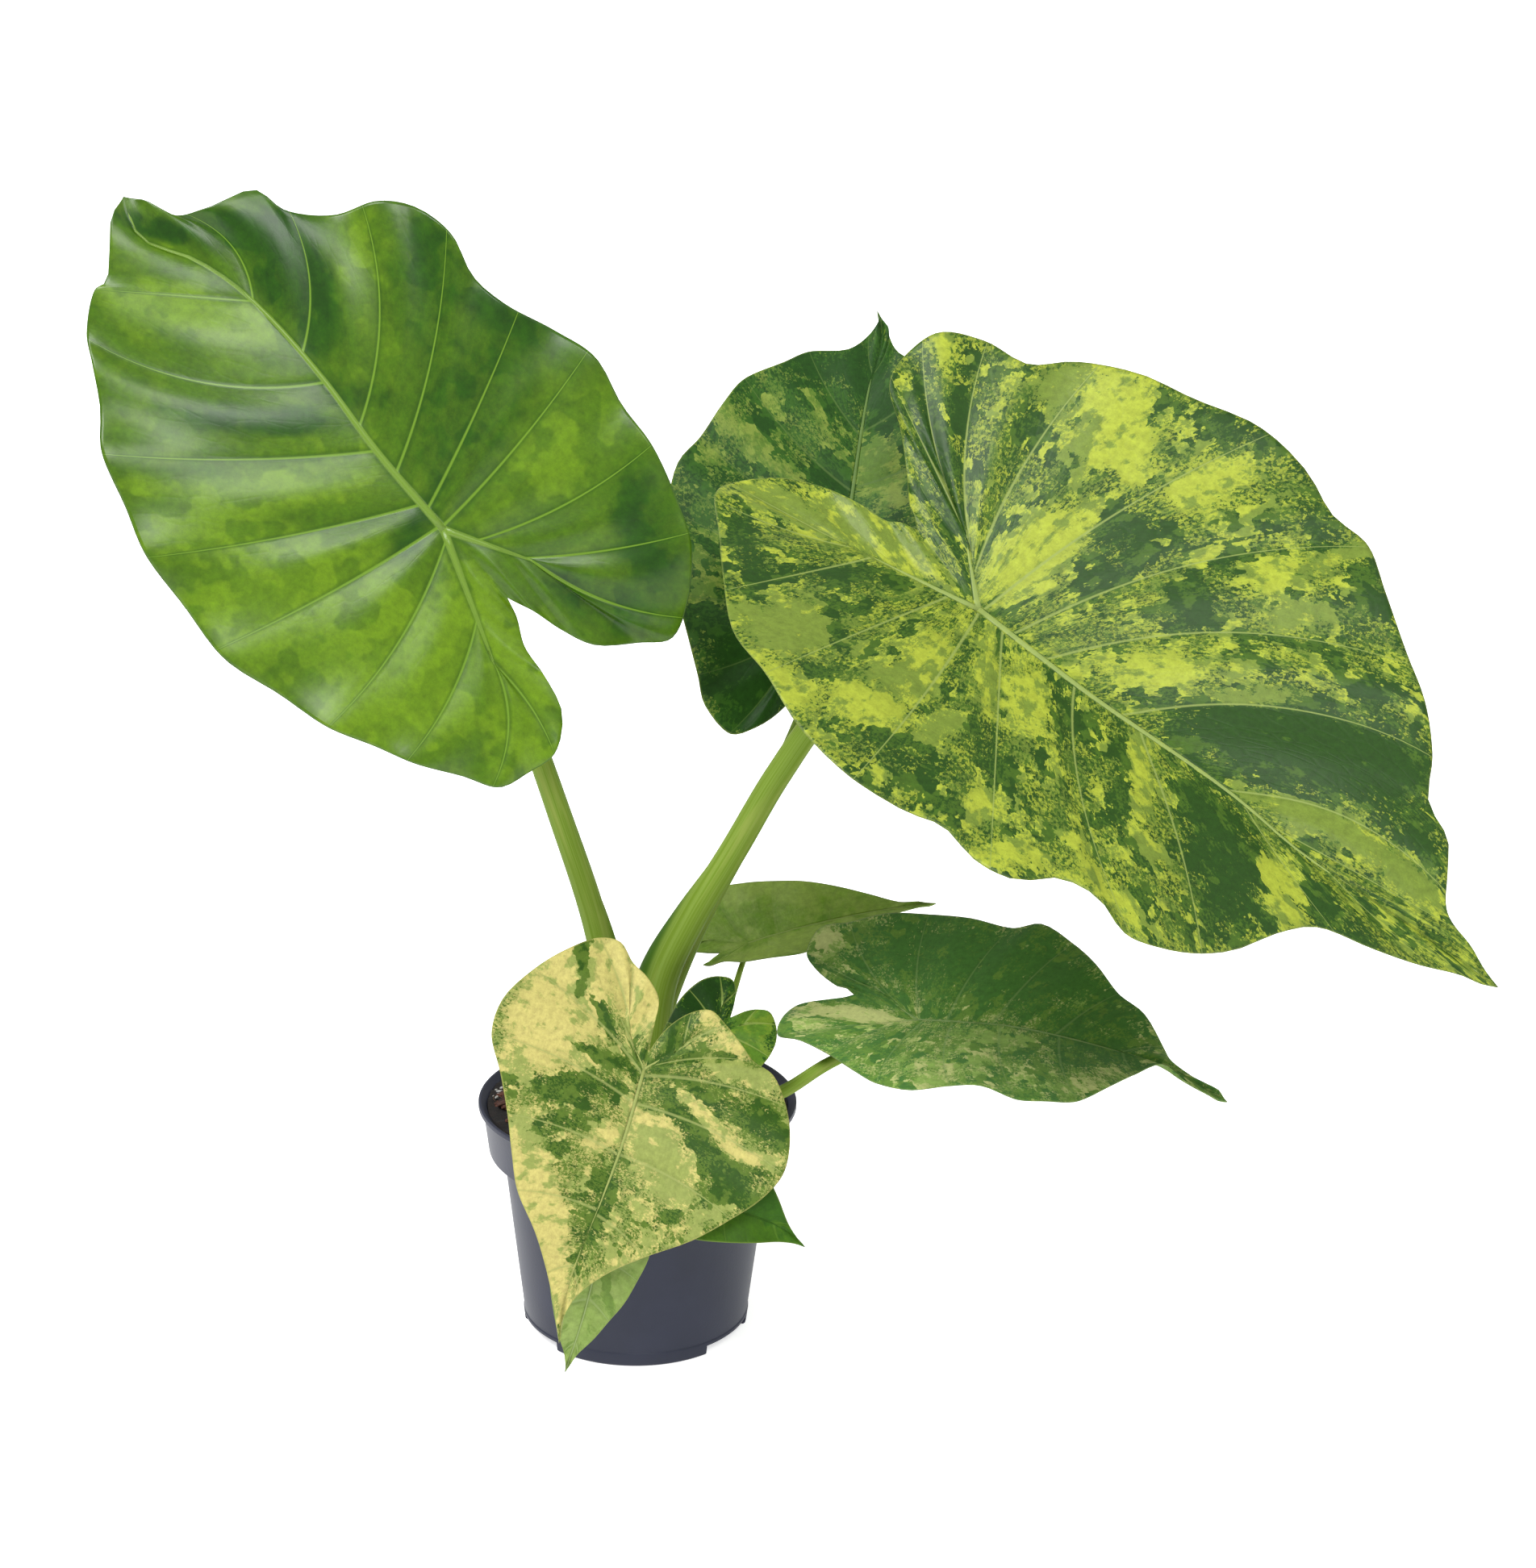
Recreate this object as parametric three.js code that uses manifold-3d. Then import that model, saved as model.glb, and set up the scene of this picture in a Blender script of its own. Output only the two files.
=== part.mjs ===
// Giant taro with variegated leaves, growing in a round nursery pot.
// Millimetres, +Z up. The origin is the centre of the pot's underside, on the surface it stands on.
// -Y is the front: the large left leaf faces it, and the small front leaf hangs over the rim there.
import * as THREE from "three";
import { mergeVertices } from "three/addons/utils/BufferGeometryUtils.js";
import Module from "manifold-3d";

const manifold = await Module();
manifold.setup();

// ---------- driving dimensions ----------

const CLEARANCE = 0.3; // between pieces that touch

const POT = {
  height: 105.6,
  lipRadius: 70, // a 14 cm pot, measured across the lip
  lipInnerRadius: 68.5, // the wall flares out to the lip, which is thin
  lipDepth: 2.6,
  collarTopRadius: 68,
  collarBottomRadius: 65.5,
  collarBottom: 82.8, // height of the step under the collar
  bodyTopRadius: 59.3,
  footRadius: 49.8,
  wall: 1.5,
  floor: 2.6,
  cornerRadius: 41, // from here outwards the floor is thick enough to take the notches
  cornerFloor: 6,
  segments: 40,
  lineHeight: 6, // the moulded line round the foot
  notchHeight: 4,
  notchDepth: 7,
  notchMiddles: [61, 119, 241, 299], // degrees from the front
  notchHalfAngle: 20,
  drainRadius: 3.6,
  drainCircle: 33,
  drainCount: 6,
};

const SOIL = {
  edgeHeight: 103.4, // just under the lip
  mound: 3.5, // rise from the edge to the middle
  relief: 0.9,
  rings: 6,
  lumpCount: 24,
  lumpSize: [1.6, 3.6],
  seed: 17,
};

const CROWN = { radius: 20, base: 84, shoulder: 107, top: 113, hub: 9, segments: 24 };

const BLADE = {
  thickness: 0.9,
  ribFlank: 2.6, // how far the rib's sloping side runs out under the blade
  ribTip: 0.35, // half the width of a rib where it runs out
  ribDepth: 0.5, // how far the midrib stands out below, as a share of its width
  midribEnd: 0.965, // share of the blade's length at which the midrib ends, short of the tip
  veinBow: 0.1, // how much the side veins curve towards the tip, as a share of their length
  middleRing: 0.52, // place of the mesh's middle ring between the ribs and the margin
  foldRounding: 6, // rounds the fold along the midrib
  swayPerVein: 1.9, // turn of the margin's slow wave from one side vein to the next, in radians
};

const STALK_STEP = 20; // length of stalk between two of its rings, at the most
const STALK_TAPER = 1.15; // a stalk reaches the radius of its top at 1 / 1.15 of its length

// ---------- leaves ----------
// Each leaf has its own frame: U runs from the stalk's junction to the blade's tip, N stands out of the upper
// face, and V = N x U. "left" rows lie at +V and "right" rows at -V. They go from the tip round to the sinus,
// each giving a point [u, v] on the margin. A third number means that a side vein ends there, and is how far
// along the rib the vein starts: above zero on the midrib, below zero on that side's basal rib.

// The outline shared by the small leaves, as shares of the blade's length (u) and half width (v).
const SMALL_OUTLINE = {
  left: [
    [0.93, 0.04],
    [0.84, 0.14, 0.76],
    [0.7, 0.36],
    [0.56, 0.56, 0.44],
    [0.4, 0.75],
    [0.24, 0.88, 0.17],
    [0.08, 0.97],
    [-0.08, 0.98, 0.02],
    [-0.22, 0.9],
    [-0.34, 0.7, -0.15],
    [-0.39, 0.46],
    [-0.34, 0.26, -0.22],
    [-0.25, 0.12],
  ],
  ribShare: [-0.2, 0.3],
  sinusShare: [-0.14, 0],
};

function smallLeaf(leaf) {
  const { length, halfWidth } = leaf;
  const side = (sign) =>
    SMALL_OUTLINE.left.map(([u, v, root]) => {
      const row = [u * length, sign * v * halfWidth * (sign < 0 ? leaf.rightShare : 1)];
      return root === undefined ? row : [...row, root * length];
    });
  const rib = (sign) => [
    SMALL_OUTLINE.ribShare[0] * length,
    sign * SMALL_OUTLINE.ribShare[1] * halfWidth,
  ];
  return {
    samples: 1,
    fold: 0.15,
    arch: 4,
    quilt: 0.5,
    ruffle: 1,
    sway: 1,
    padDepth: 1.2,
    padRadius: 2.6,
    ribWidth: 1.2,
    left: side(1),
    right: side(-1),
    leftRib: rib(1),
    rightRib: rib(-1),
    sinus: [SMALL_OUTLINE.sinusShare[0] * length, 0],
    ...leaf,
  };
}

const LEAVES = {
  left: {
    joint: [-81.5, -10, 360.5],
    tip: [-216.5, 30, 489],
    faces: [0.07, -0.93, 0.37],
    samples: 2,
    fold: 0.1,
    arch: 6,
    quilt: 1.6,
    ruffle: 3,
    sway: 2.5,
    padDepth: 2.6,
    padRadius: 5.4,
    ribWidth: 3,
    colour: 0x5f9a1e,
    midrib: [[0, 0], [41, -2], [82, -7], [123, -8], [150, -3], [172, 7], [191, 0]],
    leftRib: [-54, 23],
    rightRib: [-34, -18],
    sinus: [-38, 0],
    left: [
      [186.5, 9.5], [168.5, 29.5, 158], [168.5, 35.5], [158, 50, 126], [146, 57],
      [129.5, 67.5, 84], [114.5, 79.5], [92, 88, 44], [72, 95.5], [48, 98.5, 15], [20, 101.5],
      [-4, 95.5, 2], [-28, 90.5], [-46, 82, -9], [-62.5, 75], [-78.5, 64.5, -36], [-92.5, 56.5],
      [-96, 43.5, -54], [-98, 30.5], [-88, 16.5, -58], [-73, 11.5], [-57, 8.5, -34], [-46, 2.5],
    ],
    right: [
      [183, -5], [169.5, -9.5, 158], [161, -22], [154.5, -40.5, 128], [139.5, -43.5],
      [125, -57, 94], [116, -73], [104, -82.5, 56], [84, -85], [66, -80, 33], [49, -81.5],
      [28.5, -89.5, 12], [8, -94], [-13, -89, 0], [-34, -86], [-56, -79, -12], [-76, -69],
      [-91, -52, -34], [-96.5, -38], [-88.5, -27.5, -38], [-76.5, -12.5], [-62.5, -7, -26],
      [-49, -3.5],
    ],
  },
  right: {
    joint: [139.3, -20, 334],
    tip: [343.8, -110, 207.3],
    faces: [0.2, -0.61, 0.77],
    samples: 2,
    fold: 0.3,
    arch: 8,
    quilt: 1.8,
    ruffle: 2.6,
    sway: 1.2,
    padDepth: 3,
    padRadius: 6.4,
    ribWidth: 3.6,
    colour: 0x86a92c,
    midrib: [[0, 0], [30, -4], [64, -7], [129, -7], [164, -10], [195, -7], [257, 0]],
    leftRib: [-27, 28],
    rightRib: [-65, -9],
    sinus: [-43, 17],
    left: [
      [240, 4], [224, 11, 190], [214.5, 23], [206.5, 36, 130], [192.5, 40], [182, 58, 100],
      [167.5, 71], [148.5, 86.5, 68], [126.5, 102], [108, 117.5, 30], [90, 117.5], [70, 129, 12],
      [42, 132.5], [13, 131, 1], [-12.5, 127.5], [-40, 120, -8], [-54, 107], [-76.5, 108, -30],
      [-94, 98], [-99, 84, -38], [-95, 65], [-79, 53, -37], [-64, 37], [-53, 26, -18],
    ],
    right: [
      [243, -9.5], [225.5, -21, 190], [208, -34], [188, -40, 138], [177.5, -59.5],
      [167, -85, 104], [150, -109.5], [134, -116.5, 76], [118, -112.5], [103, -113, 49],
      [90.5, -131.5], [74, -132, 22], [57, -129], [41.5, -133, 8], [18, -138], [-10, -128, -2],
      [-36, -113], [-60, -98, -14], [-82, -73], [-102, -45, -50], [-116, -28], [-117, -14, -68],
      [-106, 1], [-88, 12, -50], [-72, 13], [-56, 15, -26],
    ],
  },
  back: {
    joint: [83.3, 45, 324.7],
    tip: [99.6, 155, 432.2],
    faces: [0.04, -0.7, 0.71],
    samples: 2,
    fold: 0.12,
    arch: 6,
    quilt: 1.3,
    ruffle: 2.6,
    sway: 2,
    padDepth: 2.2,
    padRadius: 4.8,
    ribWidth: 2.6,
    colour: 0x3f6b2a,
    midrib: [[0, 0], [50, 0], [104, -1], [135, -4], [146, -3.2], [155, 0]],
    leftRib: [-34, 18],
    rightRib: [-36, -17],
    sinus: [-22, 1],
    left: [
      [146, -1.5], [139, 2, 116], [127, 10.5], [123.5, 28, 80], [112, 38], [98.5, 54.5, 50],
      [80, 62], [62.5, 69.5, 26], [46, 77.5], [26, 79, 8], [6, 75], [-14, 69, -3], [-33.5, 62],
      [-50, 55, -16], [-63.5, 50], [-71.5, 38, -38], [-67.5, 27.5], [-54, 16, -34], [-38, 8],
    ],
    right: [
      [144, -6], [138, -7.5, 116], [126.5, -12.5], [119, -32, 82], [106, -44], [93, -58, 52],
      [74, -67], [55, -76, 28], [32, -81], [9, -79, 8], [-12, -73], [-31, -67, -5], [-49, -60],
      [-64, -50, -24], [-73, -38], [-71, -26, -39], [-57, -16], [-41, -8, -24],
    ],
  },
  small_right: {
    joint: [121.8, -5, 146.7],
    tip: [249.9, -55, 132.7],
    faces: [-0.01, -0.29, 0.96],
    samples: 1,
    fold: 0.25,
    arch: 6,
    quilt: 0.9,
    ruffle: 1.8,
    sway: 1.4,
    padDepth: 1.6,
    padRadius: 3.6,
    ribWidth: 1.8,
    colour: 0x47702f,
    midrib: [[0, 0], [21, 3], [43, 6], [83, 7], [104, 8], [122, 4], [138, 0]],
    leftRib: [-28, 17],
    rightRib: [-27, -12],
    sinus: [-34, 11],
    left: [
      [134, 2], [122, 7, 112], [111, 11], [105, 19, 90], [92.5, 30.5], [78.5, 37.5, 60], [65, 47],
      [51, 57.5, 32], [34, 64], [21.5, 61.5, 12], [2, 61.5], [-18, 62, 0], [-36, 57],
      [-52, 51, -14], [-64, 45], [-66, 34, -30], [-57, 23], [-44.5, 16.5, -18],
    ],
    right: [
      [131, -2], [121, 1, 112], [108, 5], [99.5, -6.5, 90], [93.5, -24.5], [84.5, -41.5, 62],
      [75, -52.5], [63, -57, 36], [48, -57], [35, -59, 15], [22, -69.5], [4, -62, 2],
      [-10, -54.5], [-26, -41, -10], [-40.5, -36.5], [-52.5, -32, -27], [-57.5, -16],
      [-57.5, 2, -22], [-44, 7],
    ],
  },
  front: {
    joint: [5.8, -75, 149.9],
    tip: [-25.4, -125, 50.2],
    faces: [0.19, -0.9, 0.39],
    samples: 1,
    fold: 0.1,
    arch: 6,
    quilt: 0.9,
    ruffle: 1.6,
    sway: 1.4,
    padDepth: 1.6,
    padRadius: 3.4,
    ribWidth: 1.8,
    colour: 0x9db552,
    midrib: [[0, 0], [30, 0], [60, -2], [92, -4], [116, 0]],
    leftRib: [-16, 15],
    rightRib: [-18, -16],
    sinus: [-8, 0],
    left: [
      [105, -2], [95, 1, 86], [84, 9], [73, 22, 62], [61, 38], [48, 51, 36], [37, 60],
      [24, 66.5, 14], [10, 65.5], [-3, 61, 2], [-14, 52], [-17, 43, -5], [-22, 36],
      [-28, 28, -14], [-32, 20], [-29, 13, -20], [-20, 5],
    ],
    right: [
      [102, -7], [90, -14, 84], [76, -24], [62, -36, 60], [48, -43], [34, -49, 36], [19, -57],
      [5, -65, 14], [-9.5, -65], [-25.5, -56, 1], [-37.5, -45.5], [-47, -33, -8], [-48, -24],
      [-41.5, -16.5, -22], [-37, -9], [-30, -2, -16], [-19, -1],
    ],
  },
  small_back: smallLeaf({
    joint: [45.9, 72.4, 152.1],
    tip: [133.7, 92.6, 166.6],
    faces: [-0.11, -0.34, 0.93],
    length: 90,
    halfWidth: 35,
    rightShare: 0.5,
    fold: 0.3,
    colour: 0x5c8428,
    midrib: [[0, 0], [40, -1], [90, 0]],
    rightRib: [-14, -5.5],
    left: [
      [83, 0.5], [74.5, 3.5, 68.4], [61.5, 10.5], [49.5, 18.5, 39.6], [34.5, 24], [21, 28.5, 15.3],
      [7, 31], [-7, 34.5, 1.8], [-20, 31.5], [-30.5, 24.5, -13.5], [-35, 16], [-30.5, 9, -19.8],
      [-22.5, 4],
    ],
    right: [
      [83.5, -2.5], [75.5, -4, 68.4], [63, -10], [50.5, -16, 39.6], [36, -20.5], [21.5, -22.5, 15.3],
      [7, -20], [-5, -14.5, 1.8], [-13, -10.5], [-19, -8, -8], [-22, -5.5], [-20, -3, -12],
      [-16, -1.5],
    ],
  }),
  inner: smallLeaf({
    joint: [36, -32, 151],
    tip: [2, -59, 117],
    faces: [0.15, -0.8, 0.55],
    length: 55,
    halfWidth: 24,
    rightShare: 0.9,
    colour: 0x4f7a24,
    midrib: [[0, 0], [28, 1], [55, 0]],
  }),
  low_right: smallLeaf({
    joint: [14, -82, 112],
    tip: [74, -85, 76],
    faces: [0.15, -0.9, 0.4],
    length: 70,
    halfWidth: 32,
    rightShare: 0.85,
    colour: 0x55842a,
    midrib: [[0, 0], [35, -1], [58, 2], [70, 0]],
  }),
  low_left: smallLeaf({
    joint: [-9, -98, 88],
    tip: [-25.2, -95, 21],
    faces: [0.03, -0.99, 0.08],
    length: 69,
    halfWidth: 21,
    rightShare: 1,
    colour: 0xa3b874,
    midrib: [[0, 0], [35, 1], [69, 0]],
  }),
};

// ---------- stalks ----------
// path: points up the middle of the stalk from its foot, without the last two, which follow from the leaf.
// foot and top: the radius at the two ends. bend: how long the stalk's last turn, square to the blade, is.
// sheath: the edge of the leaf sheath, which stands out along the side of the two thickest stalks. It rises
// out of the stalk at the height "from", stands out furthest at "widest" and runs out at "to".

const STALKS = {
  left: {
    path: [[-8.5, -4, 92], [-9, -3.5, 125], [-17.6, -1, 181], [-35, 0, 237], [-57, 0, 300], [-76, 0, 346]],
    foot: 6.4, top: 4.3, bend: 8, sides: 12,
    sheath: { towards: [1, 0.4, 0], out: 2.5, from: 140, widest: 168, to: 196 },
  },
  right: {
    path: [[7.5, -2, 92], [7, 0, 130], [11, 0, 162], [22.5, 0, 189], [41, 0, 222.6], [58.7, 0, 255.5],
      [80, -3, 288], [108, -7, 312], [127, -11, 321]],
    foot: 6.8, top: 5.2, bend: 9, sides: 12,
    sheath: { towards: [-1, 0.35, 0], out: 6, from: 128, widest: 160, to: 210 },
  },
  back: {
    path: [[0, 12.5, 92], [8, 16, 135], [24, 16, 180], [43, 19, 218], [60, 25, 250], [73, 33, 282],
      [80, 42, 307]],
    foot: 5.6, top: 4, bend: 7, sides: 12,
  },
  small_right: {
    path: [[24, -14, 94], [29, -15, 107], [44, -19, 111], [62.8, -21, 118.2], [82.5, -19, 131],
      [103, -12, 138.8]],
    foot: 3.4, top: 2.4, bend: 5, sides: 8,
  },
  front: {
    path: [[-3, -26, 94], [-2, -29, 122], [1, -43, 142], [3.6, -60, 147]],
    foot: 3.6, top: 2.6, bend: 5, sides: 8,
  },
  small_back: {
    path: [[30, 19, 94], [32.5, 28, 115], [38.5, 44, 130], [43, 61, 141.5]],
    foot: 1.9, top: 1.3, bend: 4, sides: 8,
  },
  inner: {
    path: [[29, 2, 94], [31, 0, 120], [35, -12, 142], [36, -23, 147.5]],
    foot: 2.2, top: 1.6, bend: 4, sides: 8,
  },
  low_right: {
    path: [[14, -38, 94], [14, -48, 112], [14, -63, 120], [14, -73, 116.5]],
    foot: 2.2, top: 1.7, bend: 4.5, sides: 8,
  },
  low_left: {
    path: [[-25, -36, 94], [-25, -50, 114], [-24.5, -68, 121], [-21, -86, 113], [-13, -94, 97]],
    foot: 2.2, top: 1.5, bend: 4.5, sides: 8,
  },
};

// ---------- small helpers ----------

const vec = (p) => new THREE.Vector3(...p);

const mix = (a, b, t) => a + (b - a) * t;

// A repeatable run of numbers from 0 to 1.
function randomRun(seed) {
  let state = seed;
  return () => {
    state = (state * 16807) % 2147483647;
    return state / 2147483647;
  };
}

// The value at u of a smooth curve through points [[u0, v0], [u1, v1], ...] in rising u.
function curveAt(points, u) {
  const last = points.length - 1;
  let k = 0;
  while (k < last - 1 && u > points[k + 1][0]) k++;
  const slope = (i) => {
    const a = points[Math.max(i - 1, 0)];
    const b = points[Math.min(i + 1, last)];
    return (b[1] - a[1]) / (b[0] - a[0]);
  };
  const [u0, v0] = points[k];
  const [u1, v1] = points[k + 1];
  const span = u1 - u0;
  const t = Math.min(Math.max((u - u0) / span, 0), 1);
  const rise = t * t * (3 - 2 * t);
  return (
    v0 + (v1 - v0) * rise +
    span * t * (1 - t) * ((1 - t) * slope(k) - t * slope(k + 1))
  );
}

// ---------- solids ----------

function geometryOf(vertices, triangles) {
  const geometry = new THREE.BufferGeometry();
  geometry.setAttribute("position", new THREE.Float32BufferAttribute(vertices.flat(), 3));
  geometry.setIndex(triangles.flat());
  geometry.computeVertexNormals();
  return geometry;
}

function solidOf(geometry) {
  const bare = geometry.clone();
  bare.deleteAttribute("normal");
  bare.deleteAttribute("uv");
  const merged = mergeVertices(bare, 1e-4);
  const mesh = new manifold.Mesh({
    numProp: 3,
    vertProperties: merged.attributes.position.array,
    triVerts: new Uint32Array(merged.index.array),
  });
  return new manifold.Manifold(mesh);
}

function geometryOfSolid(solid) {
  const mesh = solid.getMesh();
  const geometry = new THREE.BufferGeometry();
  geometry.setAttribute("position", new THREE.BufferAttribute(mesh.vertProperties, 3));
  geometry.setIndex(new THREE.BufferAttribute(mesh.triVerts, 1));
  geometry.computeVertexNormals();
  return geometry;
}

// Joins closed rings of equal length into one closed surface, with a flat fan at each end.
function loft(rings) {
  const sides = rings[0].length;
  const vertices = rings.flat();
  const triangles = [];
  for (let i = 0; i + 1 < rings.length; i++) {
    for (let k = 0; k < sides; k++) {
      const a = i * sides + k;
      const b = i * sides + ((k + 1) % sides);
      triangles.push([a, b, b + sides], [a, b + sides, a + sides]);
    }
  }
  const end = (rings.length - 1) * sides;
  for (let k = 1; k + 1 < sides; k++) {
    triangles.push([0, k + 1, k], [end, end + k, end + k + 1]);
  }
  return geometryOf(vertices, triangles);
}

// A LatheGeometry turned so that its axis is +Z. The profile goes anticlockwise seen with the axis on the
// left.
function turned(profile, segments) {
  const points = profile.map(([r, z]) => new THREE.Vector2(r, z));
  return new THREE.LatheGeometry(points, segments).rotateX(Math.PI / 2);
}

// ---------- leaf blades ----------

function leafFrame(leaf) {
  const joint = vec(leaf.joint);
  const along = vec(leaf.tip).sub(joint);
  const length = along.length();
  const u = along.normalize();
  const n = vec(leaf.faces);
  n.addScaledVector(u, -n.dot(u)).normalize();
  const v = new THREE.Vector3().crossVectors(n, u);
  return { joint, u, v, n, length };
}

// The two basal ribs and the midrib meet in a Y. For one side: the basal rib's direction and length, the
// corner between it and the midrib, and how far out along it the ribs part towards the sinus.
function basalRib(leaf, sign) {
  const own = sign > 0 ? leaf.leftRib : leaf.rightRib;
  const other = sign > 0 ? leaf.rightRib : leaf.leftRib;
  const size = Math.hypot(...own);
  const [du, dv] = [own[0] / size, own[1] / size];
  const half = leaf.ribWidth / 2;
  const between = Math.acos((own[0] * other[0] + own[1] * other[1]) / (size * Math.hypot(...other)));
  return {
    size, du, dv, half,
    cornerReach: (half * (1 + du)) / Math.abs(dv),
    cornerU: half * Math.abs(dv) + (du * half * (1 + du)) / Math.abs(dv),
    parting: half / Math.tan(between / 2),
  };
}

// Where a side vein starts: beside the midrib (root above zero) or beside the basal rib. inner is true on the
// side of the basal rib that faces the sinus.
function rootPoint(leaf, length, sign, root, inner) {
  const rib = basalRib(leaf, sign);
  if (root >= 0 && !inner) {
    const u = root + rib.cornerU * (1 - root / length);
    return [u, curveAt(leaf.midrib, root) + sign * mix(rib.half, BLADE.ribTip, root / length)];
  }
  const share = Math.min(Math.abs(root) / rib.size, 1);
  const reach = Math.abs(root) + (inner ? rib.parting : rib.cornerReach) * (1 - share);
  const across = (inner ? -1 : 1) * sign * mix(rib.half, BLADE.ribTip, share);
  return [rib.du * reach + rib.dv * across, rib.dv * reach - rib.du * across];
}

// The vein-wise lines of one side, from just past the tip to just before the sinus.
function sideSpokes(leaf, length, sign) {
  const rows = sign > 0 ? leaf.left : leaf.right;
  const margin = [[length, 0], ...rows, leaf.sinus];
  const roots = margin.map((row) => row[2]);
  roots[0] = length * BLADE.midribEnd;
  roots[roots.length - 1] = 0;
  const deepest = roots.indexOf(Math.min(...roots.filter((r) => r !== undefined)));
  const veinAt = roots.map((r, i) => (r === undefined ? -1 : i)).filter((i) => i >= 0);
  const curve = new THREE.CatmullRomCurve3(
    margin.map(([u, v]) => new THREE.Vector3(u, v, 0)),
    false,
    "centripetal",
  );
  const steps = (margin.length - 1) * leaf.samples;
  const spokes = [];
  for (let step = 1; step < steps; step++) {
    const place = step / leaf.samples;
    let gap = 0;
    while (veinAt[gap + 1] < place) gap++;
    const from = veinAt[gap];
    const to = veinAt[gap + 1];
    const share = (place - from) / (to - from);
    const root = mix(roots[from], roots[to], share);
    const inner = place > deepest;
    const start = rootPoint(leaf, length, sign, root, inner);
    const rim = curve.getPoint(step / steps);
    spokes.push({ start, rim: [rim.x, rim.y], share, gap, inner, sign });
  }
  return spokes;
}

function bladeSpokes(leaf, length) {
  const midribEnd = length * BLADE.midribEnd;
  const tip = {
    start: [midribEnd, curveAt(leaf.midrib, midribEnd)],
    rim: [length, 0],
    share: 0, gap: 0, inner: false, sign: 0,
  };
  const sinus = {
    start: rootPoint(leaf, length, 1, 0, true),
    rim: leaf.sinus,
    share: 0, gap: 0, inner: true, sign: 0,
  };
  return [
    tip,
    ...sideSpokes(leaf, length, 1),
    sinus,
    ...sideSpokes(leaf, length, -1).reverse(),
  ];
}

// A point on a vein-wise line at the share t from its rib to the margin. Veins set off towards the side and
// curve a little towards the tip.
function spokePoint(spoke, t) {
  const [u0, v0] = spoke.start;
  const [u1, v1] = spoke.rim;
  const bow = (spoke.inner ? 0 : BLADE.veinBow) * spoke.sign;
  const mid = [(u0 + u1) / 2 - Math.abs(v1 - v0) * Math.abs(bow), (v0 + v1) / 2 + (u1 - u0) * bow];
  const [a, b, c] = [(1 - t) * (1 - t), 2 * t * (1 - t), t * t];
  return [a * u0 + b * mid[0] + c * u1, a * v0 + b * mid[1] + c * v1];
}

// Height of the blade's middle surface over the leaf's own plane: folded along the midrib, arched along it,
// swollen between the side veins and waved at the margin.
function bladeHeight(leaf, length, [u, v], spoke, t) {
  const across = v - curveAt(leaf.midrib, Math.max(u, 0));
  const fold = leaf.fold * (Math.hypot(across, BLADE.foldRounding) - BLADE.foldRounding);
  const share = u / length;
  const arch = 4 * leaf.arch * (share > 0 ? share * (1 - share) : share);
  const swell = 0.5 - 0.5 * Math.cos(2 * Math.PI * spoke.share);
  const quilt = leaf.quilt * 4 * t * (1 - t) * swell;
  const ruffle = leaf.ruffle * (swell - 0.4);
  const sway = leaf.sway * Math.sin(BLADE.swayPerVein * (spoke.gap + spoke.share) + spoke.sign);
  const marginWave = spoke.sign === 0 ? 0 : t ** 3 * (ruffle + sway);
  return fold + arch + quilt + marginWave;
}

function ribDepth(leaf, length, [u, v]) {
  const reach = Math.hypot(u, v) / length;
  return leaf.ribWidth * BLADE.ribDepth * Math.max(1 - reach, 0.05);
}

function bladeGeometry(leaf) {
  const { joint, u, v, n, length } = leafFrame(leaf);
  const spokes = bladeSpokes(leaf, length);
  const count = spokes.length;
  const place = ([lu, lv], height) =>
    joint.clone().addScaledVector(u, lu).addScaledVector(v, lv).addScaledVector(n, height).toArray();
  const upper = [];
  const lower = [];
  const ringCount = 4;
  for (let ring = 0; ring < ringCount; ring++) {
    for (const spoke of spokes) {
      const reach = Math.hypot(spoke.rim[0] - spoke.start[0], spoke.rim[1] - spoke.start[1]);
      const flank = Math.min(BLADE.ribFlank / reach, 0.2);
      const t = [0, flank, BLADE.middleRing, 1][ring];
      const point = spokePoint(spoke, t);
      const height = bladeHeight(leaf, length, point, spoke, t);
      const rib = ring === 0 ? ribDepth(leaf, length, point) : 0;
      const inPad = Math.hypot(...point) < leaf.padRadius;
      upper.push(place(point, height + BLADE.thickness / 2));
      lower.push(place(point, inPad ? -leaf.padDepth : height - BLADE.thickness / 2 - rib));
    }
  }
  const total = upper.length;
  const triangles = [];
  const both = (a, b, c) => triangles.push([a, b, c], [total + a, total + c, total + b]);
  for (let ring = 0; ring + 1 < ringCount; ring++) {
    for (let k = 0; k < count; k++) {
      const a = ring * count + k;
      const b = ring * count + ((k + 1) % count);
      both(a, a + count, b + count);
      both(a, b + count, b);
    }
  }
  const ribOutline = spokes.map((s) => new THREE.Vector2(...s.start));
  for (const [a, b, c] of THREE.ShapeUtils.triangulateShape(ribOutline, [])) both(a, b, c);
  const rim = (ringCount - 1) * count;
  for (let k = 0; k < count; k++) {
    const a = rim + k;
    const b = rim + ((k + 1) % count);
    triangles.push([a, total + a, total + b], [a, total + b, b]);
  }
  return geometryOf([...upper, ...lower], triangles);
}

// ---------- stalks ----------

const NO_SHEATH = { towards: [1, 0, 0], out: 0, from: 0, widest: 1, to: 2 };

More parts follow.
